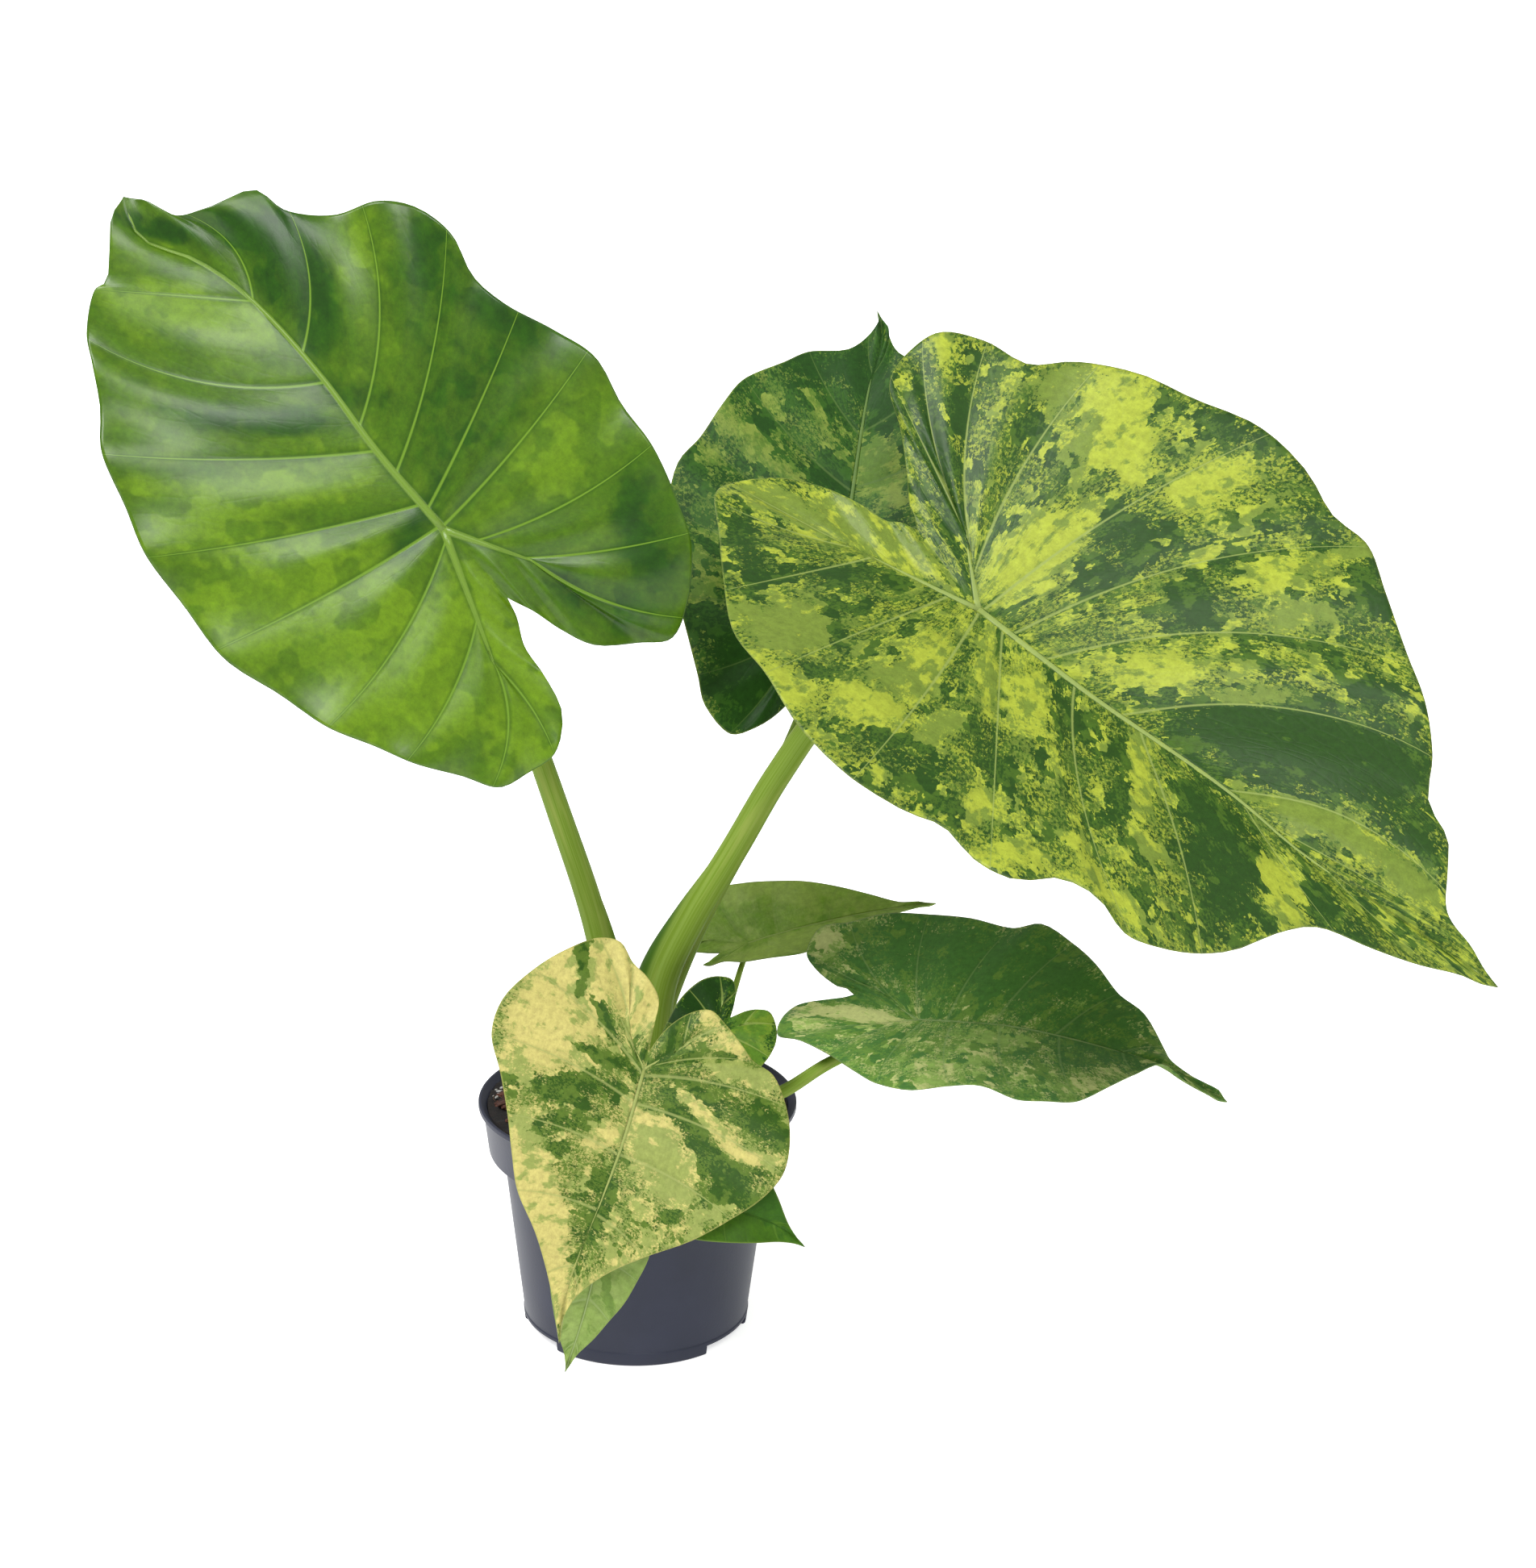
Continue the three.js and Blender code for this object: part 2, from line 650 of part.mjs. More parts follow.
// The middle line of a leaf's stalk. It turns to meet the underside of the blade square.
function stalkCurve(stalk, leaf) {
  const { joint, n } = leafFrame(leaf);
  const seat = leaf.padDepth + CLEARANCE;
  const points = [
    ...stalk.path.map(vec),
    joint.clone().addScaledVector(n, -seat - stalk.bend * 0.5),
    joint.clone().addScaledVector(n, -seat),
  ];
  return new THREE.CatmullRomCurve3(points, false, "centripetal");
}

// How far the sheath's edge stands out of the stalk at a height.
function sheathAt(sheath, z) {
  const rising = (z - sheath.from) / (sheath.widest - sheath.from);
  const falling = (sheath.to - z) / (sheath.to - sheath.widest);
  return sheath.out * Math.max(Math.min(rising, falling), 0);
}

// extra widens the stalk all round, and lengthens its foot, to cut the hole that it stands in.
function stalkGeometry(stalk, leaf, extra = 0) {
  const curve = stalkCurve(stalk, leaf);
  const { n } = leafFrame(leaf);
  const sheath = stalk.sheath ?? NO_SHEATH;
  const steps = Math.ceil(curve.getLength() / STALK_STEP) + 3;
  const rings = [];
  for (let step = 0; step <= steps; step++) {
    const share = step / steps;
    const centre = curve.getPointAt(share);
    const tangent = step === steps ? n.clone() : curve.getTangentAt(share);
    if (step === 0) centre.addScaledVector(tangent, -extra);
    const edge = vec(sheath.towards);
    edge.addScaledVector(tangent, -edge.dot(tangent)).normalize();
    const side = new THREE.Vector3().crossVectors(tangent, edge);
    const radius = mix(stalk.foot, stalk.top, Math.min(share * STALK_TAPER, 1)) + extra;
    const wing = sheathAt(sheath, centre.z);
    const ring = [];
    for (let k = 0; k < stalk.sides; k++) {
      const angle = (2 * Math.PI * k) / stalk.sides;
      const out = radius + wing * Math.max(Math.cos(angle), 0) ** 6;
      const point = centre.clone().addScaledVector(edge, out * Math.cos(angle));
      ring.push(point.addScaledVector(side, out * Math.sin(angle)).toArray());
    }
    rings.push(ring);
  }
  return loft(rings);
}

// ---------- pot, soil and crown ----------

// The inside of the pot at a height, from the floor up to the lip.
function innerRadius(z) {
  const share = z / POT.collarBottom;
  if (z < POT.collarBottom + POT.wall) return mix(POT.footRadius, POT.bodyTopRadius, share) - POT.wall;
  const up = (z - POT.collarBottom) / (POT.height - POT.collarBottom);
  return mix(POT.collarBottomRadius, POT.collarTopRadius, up) - POT.wall;
}

function potGeometry() {
  const { height, lipRadius, lipInnerRadius, lipDepth, floor, lineHeight } = POT;
  const { collarTopRadius, collarBottomRadius, collarBottom, bodyTopRadius } = POT;
  const { footRadius, cornerRadius, cornerFloor } = POT;
  const lineRadius = mix(footRadius, bodyTopRadius, lineHeight / collarBottom);
  const profile = [
    [0, 0],
    [footRadius - 0.8, 0],
    [footRadius, 0.8],
    [lineRadius, lineHeight],
    [lineRadius - 0.35, lineHeight + 0.6],
    [bodyTopRadius, collarBottom],
    [collarBottomRadius - 0.5, collarBottom],
    [collarBottomRadius, collarBottom + 0.8],
    [collarTopRadius, height - lipDepth],
    [lipRadius, height - lipDepth + 0.4],
    [lipRadius, height - 0.4],
    [lipRadius - 0.4, height],
    [lipInnerRadius, height],
    [innerRadius(height - lipDepth), height - lipDepth],
    [innerRadius(collarBottom + 2), collarBottom + 2],
    [innerRadius(collarBottom), collarBottom],
    [innerRadius(cornerFloor), cornerFloor],
    [cornerRadius, cornerFloor],
    [cornerRadius - 1, floor],
    [0, floor],
  ];
  let pot = solidOf(turned(profile, POT.segments));
  for (const middle of POT.notchMiddles) pot = pot.subtract(notchCutter(middle));
  for (let k = 0; k < POT.drainCount; k++) {
    const angle = (2 * Math.PI * (k + 0.5)) / POT.drainCount;
    const drill = new THREE.CylinderGeometry(POT.drainRadius, POT.drainRadius, 4 * floor, 10);
    drill.rotateX(Math.PI / 2);
    drill.translate(POT.drainCircle * Math.sin(angle), -POT.drainCircle * Math.cos(angle), 0);
    pot = pot.subtract(solidOf(drill));
  }
  return geometryOfSolid(pot);
}

// The part of a ring that is cut from under the foot, between two of the pot's feet.
function notchCutter(middle) {
  const centre = THREE.MathUtils.degToRad(middle - 90);
  const half = THREE.MathUtils.degToRad(POT.notchHalfAngle);
  const outline = new THREE.Shape();
  outline.absarc(0, 0, POT.footRadius + 5, centre - half, centre + half, false);
  outline.absarc(0, 0, POT.footRadius - POT.notchDepth, centre + half, centre - half, true);
  const cutter = new THREE.ExtrudeGeometry(outline, {
    depth: 2 * POT.notchHeight,
    bevelEnabled: false,
    curveSegments: 5,
  });
  return solidOf(cutter.translate(0, 0, -POT.notchHeight));
}

function soilHeight(x, y) {
  const out = Math.hypot(x, y) / innerRadius(SOIL.edgeHeight);
  const relief = Math.sin(0.17 * x + 1.3) * Math.cos(0.15 * y) + 0.6 * Math.sin(0.3 * y - 0.2 * x);
  return SOIL.edgeHeight + SOIL.mound * (1 - out * out) + SOIL.relief * relief * (1 - out ** 6);
}

// The soil body: flat below, following the pot's inside, and uneven on top.
function soilBody() {
  const wallAt = (z) => [innerRadius(z) - CLEARANCE, z];
  const underside = [
    [POT.cornerRadius - 1 - CLEARANCE, POT.floor + CLEARANCE],
    [POT.cornerRadius - CLEARANCE, POT.cornerFloor + CLEARANCE],
    wallAt(POT.cornerFloor + CLEARANCE),
    wallAt(POT.collarBottom),
    wallAt(POT.collarBottom + 2.4),
  ];
  const rings = underside.map(([radius, z]) => soilRing(radius, () => z));
  for (let k = 0; k < SOIL.rings; k++) {
    const radius = (innerRadius(SOIL.edgeHeight) - CLEARANCE) * (1 - k / SOIL.rings);
    rings.push(soilRing(radius, soilHeight));
  }
  return loft(rings);
}

function soilRing(radius, heightAt) {
  const ring = [];
  for (let k = 0; k < POT.segments; k++) {
    const angle = (2 * Math.PI * k) / POT.segments;
    const x = radius * Math.cos(angle);
    const y = radius * Math.sin(angle);
    ring.push([x, y, heightAt(x, y)]);
  }
  return ring;
}

// Points [x, y, stalk radius] where the stalks stand in the soil or run just over it.
function stalkPointsNearSoil() {
  const points = [];
  for (const [name, stalk] of Object.entries(STALKS)) {
    for (const { x, y, z } of stalkCurve(stalk, LEAVES[name]).getSpacedPoints(40)) {
      if (z < CROWN.top) points.push([x, y, stalk.foot]);
    }
  }
  return points;
}

// Bark chips and grit that stand out of the soil, clear of the stalks and of the rim.
function soilLumps(solid) {
  const random = randomRun(SOIL.seed);
  const nearSoil = stalkPointsNearSoil();
  let made = 0;
  while (made < SOIL.lumpCount) {
    const angle = 2 * Math.PI * random();
    const radius = 60 * Math.sqrt(random());
    const x = radius * Math.cos(angle);
    const y = radius * Math.sin(angle);
    const size = mix(...SOIL.lumpSize, random());
    const turn = [random() * 3, random() * 3, random() * 3];
    const clearOfStalks = nearSoil.every(([sx, sy, r]) => Math.hypot(x - sx, y - sy) > r + 2 * size + 1);
    if (!clearOfStalks || Math.hypot(x, y) < CROWN.radius + 2 * size) continue;
    const lump = new THREE.IcosahedronGeometry(size, 0).scale(1.5, 0.9, 0.6);
    lump.rotateX(turn[0] * 0.2).rotateY(turn[1] * 0.2).rotateZ(turn[2]);
    lump.translate(x, y, soilHeight(x, y) - 0.25 * size);
    solid = solid.add(solidOf(lump));
    made++;
  }
  return solid;
}

function crownBody(extra = 0) {
  const { radius, base, shoulder, top, hub, segments } = CROWN;
  return solidOf(
    turned(
      [
        [0, base - extra],
        [radius * 0.7 + extra, base - extra],
        [radius + extra, base + 8],
        [radius + extra, shoulder],
        [radius * 0.86 + extra, shoulder + 4],
        [hub, top + extra],
        [0, top + extra],
      ],
      segments,
    ),
  );
}

function cutForStalks(solid) {
  for (const name of Object.keys(STALKS)) {
    const hole = solidOf(stalkGeometry(STALKS[name], LEAVES[name], CLEARANCE));
    solid = solid.subtract(hole);
  }
  return solid;
}

// ---------- the plant ----------

const FINISH = {
  pot: { color: 0x484c5a, roughness: 0.5, metalness: 0 },
  soil: { color: 0x3a2a1f, roughness: 0.95, metalness: 0 },
  crown: { color: 0x7c8a3e, roughness: 0.6, metalness: 0 },
  stalk: { color: 0x7f9a44, roughness: 0.45, metalness: 0 },
};

function piece(name, geometry, finish) {
  const material = new THREE.MeshStandardMaterial(finish);
  const mesh = new THREE.Mesh(geometry, material);
  mesh.name = name;
  return mesh;
}

const pot = new THREE.Group();
pot.add(piece("pot", potGeometry(), FINISH.pot));

const soil = cutForStalks(soilLumps(solidOf(soilBody())).subtract(crownBody(CLEARANCE)));
pot.add(piece("soil", geometryOfSolid(soil), FINISH.soil));

const plant = new THREE.Group();
plant.add(piece("crown", geometryOfSolid(cutForStalks(crownBody())), FINISH.crown));

for (const [name, leaf] of Object.entries(LEAVES)) {
  plant.add(piece(`stalk_${name}`, stalkGeometry(STALKS[name], leaf), FINISH.stalk));
  const finish = { color: leaf.colour, roughness: 0.4, metalness: 0 };
  plant.add(piece(`blade_${name}`, bladeGeometry(leaf), finish));
}

const taro = new THREE.Group();
taro.add(pot, plant);

export default taro;
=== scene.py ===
"""Giant taro with variegated leaves in a nursery pot: finishes, fine relief, soil, light and camera.

Leaf, stalk and pot sizes are in millimetres, as in the part's own drawings, and MM turns them into metres.
"""
import math
import random

import bmesh
import bpy
import numpy as np
from mathutils import Matrix, Vector, noise
from mathutils.geometry import delaunay_2d_cdt, tessellate_polygon


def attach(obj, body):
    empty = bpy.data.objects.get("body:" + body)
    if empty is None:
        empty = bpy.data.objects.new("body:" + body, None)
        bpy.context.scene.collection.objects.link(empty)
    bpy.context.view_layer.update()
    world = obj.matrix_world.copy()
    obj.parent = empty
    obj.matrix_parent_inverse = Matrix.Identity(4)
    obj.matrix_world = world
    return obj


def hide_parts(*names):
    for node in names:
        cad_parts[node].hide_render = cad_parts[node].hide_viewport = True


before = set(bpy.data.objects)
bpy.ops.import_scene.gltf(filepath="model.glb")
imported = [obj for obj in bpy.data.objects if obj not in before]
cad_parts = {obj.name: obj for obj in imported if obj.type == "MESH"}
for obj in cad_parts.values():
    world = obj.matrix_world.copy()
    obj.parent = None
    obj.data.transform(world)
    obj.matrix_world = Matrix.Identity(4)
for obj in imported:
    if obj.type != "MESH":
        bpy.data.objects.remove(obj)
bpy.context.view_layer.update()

MM = 0.001

# ---------- leaves ----------
# Each leaf has its own frame: U runs from the stalk's junction to the blade's tip, N stands out of the upper
# face, and V = N x U. "left" rows lie at +V and "right" rows at -V, from the tip round to the sinus. A third
# number means that a side vein ends there, and is how far along the rib it starts: above zero on the midrib,
# below zero on that side's basal rib.
# patches: areas lighter (above 0) or darker (below 0) than the leaf's usual mixture of light and green
# tissue, each as (u, v, half length, half width, direction in degrees from U, tone, film). Film above 0 lays
# more grey-green over the light tissue, below 0 less. On the left, small back and two low leaves the patches
# are wholly or partly painted light and shade instead, as noted at each.
# Many of these numbers weren't written by hand, as they should be. Other programs converted most joints, tips
# and midribs and the patches, and fitted the margins of the six largest leaves and the drawn side veins.

SMALL_OUTLINE = [
    (0.93, 0.04), (0.84, 0.14, 0.76), (0.7, 0.36), (0.56, 0.56, 0.44), (0.4, 0.75), (0.24, 0.88, 0.17),
    (0.08, 0.97), (-0.08, 0.98, 0.02), (-0.22, 0.9), (-0.34, 0.7, -0.15), (-0.39, 0.46),
    (-0.34, 0.26, -0.22), (-0.25, 0.12),
]
SMALL_RIB = (-0.2, 0.3)
SMALL_SINUS = -0.14


def small_leaf(length, half_width, right_share, **leaf):
    """A small leaf: SMALL_OUTLINE scaled to its length and half width."""

    def side(sign):
        wide = sign * half_width * (right_share if sign < 0 else 1)
        return [(r[0] * length, r[1] * wide, *(x * length for x in r[2:])) for r in SMALL_OUTLINE]

    ribs = [(SMALL_RIB[0] * length, sign * SMALL_RIB[1] * half_width) for sign in (1, -1)]
    base = dict(
        fold=0.15, arch=4, quilt=0.5, ruffle=1, sway=1, pad_depth=1.2, rib_width=1.2,
        left=side(1), right=side(-1), left_rib=ribs[0], right_rib=ribs[1],
        sinus=(SMALL_SINUS * length, 0), patches=[],
    )
    return {**base, **leaf}


LEAVES = {
    "left": dict(
        joint=(-81.5, -10, 360.5), tip=(-216.5, 30, 489), faces=(0.07, -0.93, 0.37),
        fold=0.1, arch=6, quilt=1.6, ruffle=3, sway=2.5, pad_depth=2.6, rib_width=3,
        midrib=[(0, 0), (41, -2), (82, -7), (123, -8), (150, -3), (172, 7), (191, 0)],
        left_rib=(-54, 23), right_rib=(-34, -18), sinus=(-38, 0),
        left=[
            (186.5, 9.5), (168.5, 29.5, 158), (168.5, 35.5), (158, 50, 126), (146, 57),
            (129.5, 67.5, 84), (114.5, 79.5), (92, 88, 44), (72, 95.5), (48, 98.5, 15), (20, 101.5),
            (-4, 95.5, 2), (-28, 90.5), (-46, 82, -9), (-62.5, 75), (-78.5, 64.5, -36), (-92.5, 56.5),
            (-96, 43.5, -54), (-98, 30.5), (-88, 16.5, -58), (-73, 11.5), (-57, 8.5, -34), (-46, 2.5),
        ],
        left_veins=[
            (2.98, 122, 0), (4.2, 77, 0.2), (7.05, 42.6, 0.05), (9.05, 14, 0.04), (10.8, 2, 0.04),
            (13, -5, 0.12), (14.8, -40, 0.12), (16.8, -54, 0.26), (19, -58.6, 0.13), (22, -34, 0),
        ],
        right=[
            (183, -5), (169.5, -9.5, 158), (161, -22), (154.5, -40.5, 128), (139.5, -43.5),
            (125, -57, 94), (116, -73), (104, -82.5, 56), (84, -85), (66, -80, 33), (49, -81.5),
            (28.5, -89.5, 12), (8, -94), (-13, -89, 0), (-34, -86), (-56, -79, -12), (-76, -69),
            (-91, -52, -34), (-96.5, -38), (-88.5, -27.5, -38), (-76.5, -12.5), (-62.5, -7, -26),
            (-49, -3.5),
        ],
        right_veins=[
            (2.35, 122, 0.3), (5.1, 92, 0.19), (6.65, 54, 0.17), (8.85, 30, 0.09), (11.3, 10.5, 0.03),
            (12.8, 1, 0.05), (15, -15, 0.1), (16.7, -36, 0.05), (18.3, -38.4, 0.15), (20, -37, 0),
            (22, -26, 0),
        ],
        # these patches make the -V half darker and the +V half lighter: partly the leaf's own dark and
        # yellow-green tissue, partly painted shade and painted light of the two halves
        patches=[
            (119, -31, 32, 15, 153, -1, 0), (147, -22, 20, 7, -151, -0.8, 0),
            (82, -69, 30, 12, 136, -0.5, 0), (81, 22, 35, 5, -138, -0.8, 0),
            (169, -1, 20, 4, -154, -0.6, 0), (81, 57, 19, 4, -132, -0.5, 0),
            (64, -12, 23, 5, -139, -0.4, 0), (-58, -60, 26, 12, 148, -0.6, 0),
            (-64, -26, 23, 8, -160, -0.5, 0), (41, -85, 26, 10, -163, -0.6, 0),
            (30, -43, 36, 20, -66, -0.4, 0), (7, 12, 17, 6, -74, -0.4, 0),
            (132, 10, 33, 8, -148, 0.9, 0), (108, -48, 21, 9, 148, 0.55, 0),
            (158, 2, 10, 3, -156, 0.6, 0), (60, 41, 48, 7, -132, 0.8, 0), (53, 3, 16, 7, -138, 0.4, 0),
            (23, 67, 39, 20, -121, 0.7, 0), (-35, 47, 43, 26, -74, 0.8, 0),
            (-74, 29, 27, 13, 148, 0.8, 0), (64, 73, 25, 10, -132, 0.5, 0),
            (-11, -58, 27, 15, -98, 0.35, 0), (-32, 75, 29, 10, -155, 0.6, 0),
        ],
    ),
    "right": dict(
        joint=(139.3, -20, 334), tip=(343.8, -110, 207.3), faces=(0.2, -0.61, 0.77),
        fold=0.3, arch=8, quilt=1.8, ruffle=2.6, sway=1.2, pad_depth=3, rib_width=3.6,
        midrib=[(0, 0), (30, -4), (64, -7), (129, -7), (164, -10), (195, -7), (257, 0)],
        left_rib=(-27, 28), right_rib=(-65, -9), sinus=(-43, 17),
        left=[
            (240, 4), (224, 11, 190), (214.5, 23), (206.5, 36, 130), (192.5, 40), (182, 58, 100),
            (167.5, 71), (148.5, 86.5, 68), (126.5, 102), (108, 117.5, 30), (90, 117.5), (70, 129, 12),
            (42, 132.5), (13, 131, 1), (-12.5, 127.5), (-40, 120, -8), (-54, 107), (-76.5, 108, -30),
            (-94, 98), (-99, 84, -38), (-95, 65), (-79, 53, -37), (-64, 37), (-53, 26, -18),
        ],
        left_veins=[
            (1.5, 150, 0), (2.5, 127, 0.2), (5.95, 74, 0.19), (7.75, 35, 0.17), (9.9, 17.5, 0.14),
            (12.8, 1, 0.09), (15.6, -18, 0.1), (17.95, -27, 0.11), (19.5, -33, 0.09), (20.8, -38.6, 0),
            (23, -28, 0),
        ],
        right=[
            (243, -9.5), (225.5, -21, 190), (208, -34), (188, -40, 138), (177.5, -59.5),
            (167, -85, 104), (150, -109.5), (134, -116.5, 76), (118, -112.5), (103, -113, 49),
            (90.5, -131.5), (74, -132, 22), (57, -129), (41.5, -133, 8), (18, -138), (-10, -128, -2),
            (-36, -113), (-60, -98, -14), (-82, -73), (-102, -45, -50), (-116, -28), (-117, -14, -68),
            (-106, 1), (-88, 12, -50), (-72, 13), (-56, 15, -26),
        ],
        right_veins=[
            (1.6, 180, 0.05), (3.7, 136, 0.01), (6.45, 85, -0.05), (7.85, 52, 0.12), (11.6, 14, 0),
            (14.9, 1, -0.03), (17, -14, 0.02), (18.75, -50, 0), (20.8, -60, -0.1), (22, -65.4, 0),
            (24, -50, 0), (26, -26, 0),
        ],
        patches=[
            (-6, 105, 30, 11, -45, 1.5, -1), (41, 98, 21, 11, 57, 1.2, -0.6),
            (4, 36, 25, 12, 78, 1.4, -0.6), (73, 18, 20, 9, 36, 1.2, -0.8),
            (3, -52, 30, 8, -82, 1.2, -0.3), (-1, -95, 19, 10, 33, 1.2, -0.8),
            (-27, -112, 17, 6, -32, 1.2, -0.8), (23, -34, 26, 6, -61, 1, 0.2),
            (42, -31, 23, 8, -58, 1.1, -0.4), (98, -33, 30, 5, -61, 1.2, -0.2),
            (168, -37, 18, 10, -33, 1.5, -0.8), (115, -102, 19, 6, -23, 1, -0.4),
            (83, -120, 14, 7, 49, 1, -0.5), (60, -106, 14, 5, -60, 1, -0.2),
            (-84, 91, 13, 6, -48, 1, -0.6), (82, 76, 21, 8, 50, 1.1, -0.2),
            (-53, 3, 30, 10, 179, 1.3, 0.3), (-86, -10, 25, 9, 7, 1.1, 0.6),
            (-45, -76, 23, 17, 51, 1.2, 1.4), (-37, 105, 15, 8, 100, 1.1, 1.5),
            (-12, 82, 17, 7, 106, 1, 1.3), (110, 32, 20, 4, 37, 1.2, 1.2), (164, 6, 29, 6, 13, 1.2, 1.5),
            (204, 10, 15, 7, 5, 1.1, 1.3), (103, 70, 17, 6, 35, 1, 1.2), (27, -83, 18, 6, 92, 1, 1.3),
            (0, -69, 17, 9, 39, 1, 1), (103, 104, 17, 5, 63, 1, 0.8), (29, 61, 22, 12, 87, -1.2, 0),
            (71, 58, 21, 10, 70, -1.2, 0), (140, 28, 50, 16, 25, -2, 0), (189, 28, 20, 8, 4, -1.2, 0),
            (142, -43, 35, 16, -54, -1.5, 0), (190, -33, 25, 10, 6, -1.1, 0),
            (-60, 51, 39, 6, 139, -1.3, 0), (-66, 76, 25, 5, -48, -1.1, 0),
            (-34, 78, 20, 6, 112, -0.9, 0), (-12, 75, 15, 5, 100, -1.2, 0),
            (-83, -51, 25, 6, -50, -1.3, 0), (-54, -32, 29, 6, 49, -1.2, 0),
            (-35, -61, 18, 5, -51, -1.3, 0), (29, -107, 16, 11, 27, -1.1, 0),
            (45, -73, 19, 8, -47, -1.1, 0), (62, -31, 21, 6, -62, -0.8, 0), (88, -36, 32, 4, -63, -1, 0),
            (122, 93, 18, 9, -50, -0.6, 0), (89, 112, 18, 6, -10, -1, 0), (36, 129, 18, 5, 3, -1, 0),
            (152, 61, 21, 6, -43, -0.6, 0), (-21, -87, 14, 4, 48, -1.1, 0), (14, -45, 17, 3, -82, -1, 0),
        ],
    ),
    "back": dict(
        joint=(83.3, 45, 324.7), tip=(99.6, 155, 432.2), faces=(0.04, -0.7, 0.71),
        fold=0.12, arch=6, quilt=1.3, ruffle=2.6, sway=2, pad_depth=2.2, rib_width=2.6,
        midrib=[(0, 0), (50, 0), (104, -1), (135, -4), (146, -3.2), (155, 0)],
        left_rib=(-34, 18), right_rib=(-36, -17), sinus=(-22, 1),
        left=[
            (146, -1.5), (139, 2, 116), (127, 10.5), (123.5, 28, 80), (112, 38), (98.5, 54.5, 50),
            (80, 62), (62.5, 69.5, 26), (46, 77.5), (26, 79, 8), (6, 75), (-14, 69, -3), (-33.5, 62),
            (-50, 55, -16), (-63.5, 50), (-71.5, 38, -38), (-67.5, 27.5), (-54, 16, -34), (-38, 8),
        ],
        right=[
            (144, -6), (138, -7.5, 116), (126.5, -12.5), (119, -32, 82), (106, -44), (93, -58, 52),
            (74, -67), (55, -76, 28), (32, -81), (9, -79, 8), (-12, -73), (-31, -67, -5), (-49, -60),
            (-64, -50, -24), (-73, -38), (-71, -26, -39), (-57, -16), (-41, -8, -24),
        ],
        patches=[
            (82, 16, 20, 3, -147, 1, 0.2), (83, 30, 24, 6, -149, 0.45, 0.4),
            (60, 40, 25, 7, -126, 1.1, 0.1), (69, 54, 14, 4, -110, 1, -0.3),
            (99, 41, 12, 3, -155, 0.9, 0), (63, -9, 21, 10, -169, 1.3, 0.5),
            (46, -20, 11, 4, -147, 1.2, -1), (53, 68, 12, 6, -88, 0.6, -0.2),
            (24, 64, 19, 5, -172, 0.4, 1), (-7, 60, 11, 5, -172, 0.7, 0.5), (6, 51, 15, 5, -172, 0.3, 1),
            (112, 0, 27, 17, -161, -1.2, 0), (113, 21, 23, 9, -61, -1, 0), (52, 10, 14, 7, -163, -1, 0),
            (-49, 32, 26, 15, -161, -1.7, 0), (33, -25, 9, 4, -147, -1, 0),
            (41, 55, 14, 4, -95, -0.6, 0),
        ],
    ),
    "small_right": dict(
        joint=(121.8, -5, 146.7), tip=(249.9, -55, 132.7), faces=(-0.01, -0.29, 0.96),
        fold=0.25, arch=6, quilt=0.9, ruffle=1.8, sway=1.4, pad_depth=1.6, rib_width=1.8,
        midrib=[(0, 0), (21, 3), (43, 6), (83, 7), (104, 8), (122, 4), (138, 0)],
        left_rib=(-28, 17), right_rib=(-27, -12), sinus=(-34, 11),
        left=[
            (134, 2), (122, 7, 112), (111, 11), (105, 19, 90), (92.5, 30.5), (78.5, 37.5, 60), (65, 47),
            (51, 57.5, 32), (34, 64), (21.5, 61.5, 12), (2, 61.5), (-18, 62, 0), (-36, 57),
            (-52, 51, -14), (-64, 45), (-66, 34, -30), (-57, 23), (-44.5, 16.5, -18),
        ],
        right=[
            (131, -2), (121, 1, 112), (108, 5), (99.5, -6.5, 90), (93.5, -24.5), (84.5, -41.5, 62),
            (75, -52.5), (63, -57, 36), (48, -57), (35, -59, 15), (22, -69.5), (4, -62, 2),
            (-10, -54.5), (-26, -41, -10), (-40.5, -36.5), (-52.5, -32, -27), (-57.5, -16),
            (-57.5, 2, -22), (-44, 7),
        ],
        patches=[
            (28, 37, 49, 19, -8, -1.3, 0), (-17, 36, 23, 16, -6, -1, 0), (75, 9, 18, 22, -2, -0.7, 0),
            (-34, 12, 16, 6, -5, -0.7, 0), (-59, 39, 12, 5, -49, 1.2, -0.2),
            (-36, 31, 8, 2, -13, 0.8, 0), (-30, -2, 25, 5, -2, 1.7, -1), (-45, -17, 10, 6, -12, 0.9, 0),
            (28, -37, 21, 23, 8, 0.6, 0.3), (26, -57, 9, 7, 25, 1.1, -0.3),
            (39, -6, 21, 7, 10, 0.9, 0.9), (84, -24, 17, 6, 67, 0.8, 0), (74, 27, 15, 6, -8, 0.9, 1.3),
            (67, -37, 14, 8, 35, 0.35, 0.3),
        ],
    ),
    "front": dict(
        joint=(5.8, -75, 149.9), tip=(-25.4, -125, 50.2), faces=(0.19, -0.9, 0.39),
        fold=0.1, arch=6, quilt=0.9, ruffle=1.6, sway=1.4, pad_depth=1.6, rib_width=1.8,
        midrib=[(0, 0), (30, 0), (60, -2), (92, -4), (116, 0)],
        left_rib=(-16, 15), right_rib=(-18, -16), sinus=(-8, 0),
        left=[
            (105, -2), (95, 1, 86), (84, 9), (73, 22, 62), (61, 38), (48, 51, 36), (37, 60),
            (24, 66.5, 14), (10, 65.5), (-3, 61, 2), (-14, 52), (-17, 43, -5), (-22, 36),
            (-28, 28, -14), (-32, 20), (-29, 13, -20), (-20, 5),
        ],
        right=[
            (102, -7), (90, -14, 84), (76, -24), (62, -36, 60), (48, -43), (34, -49, 36), (19, -57),
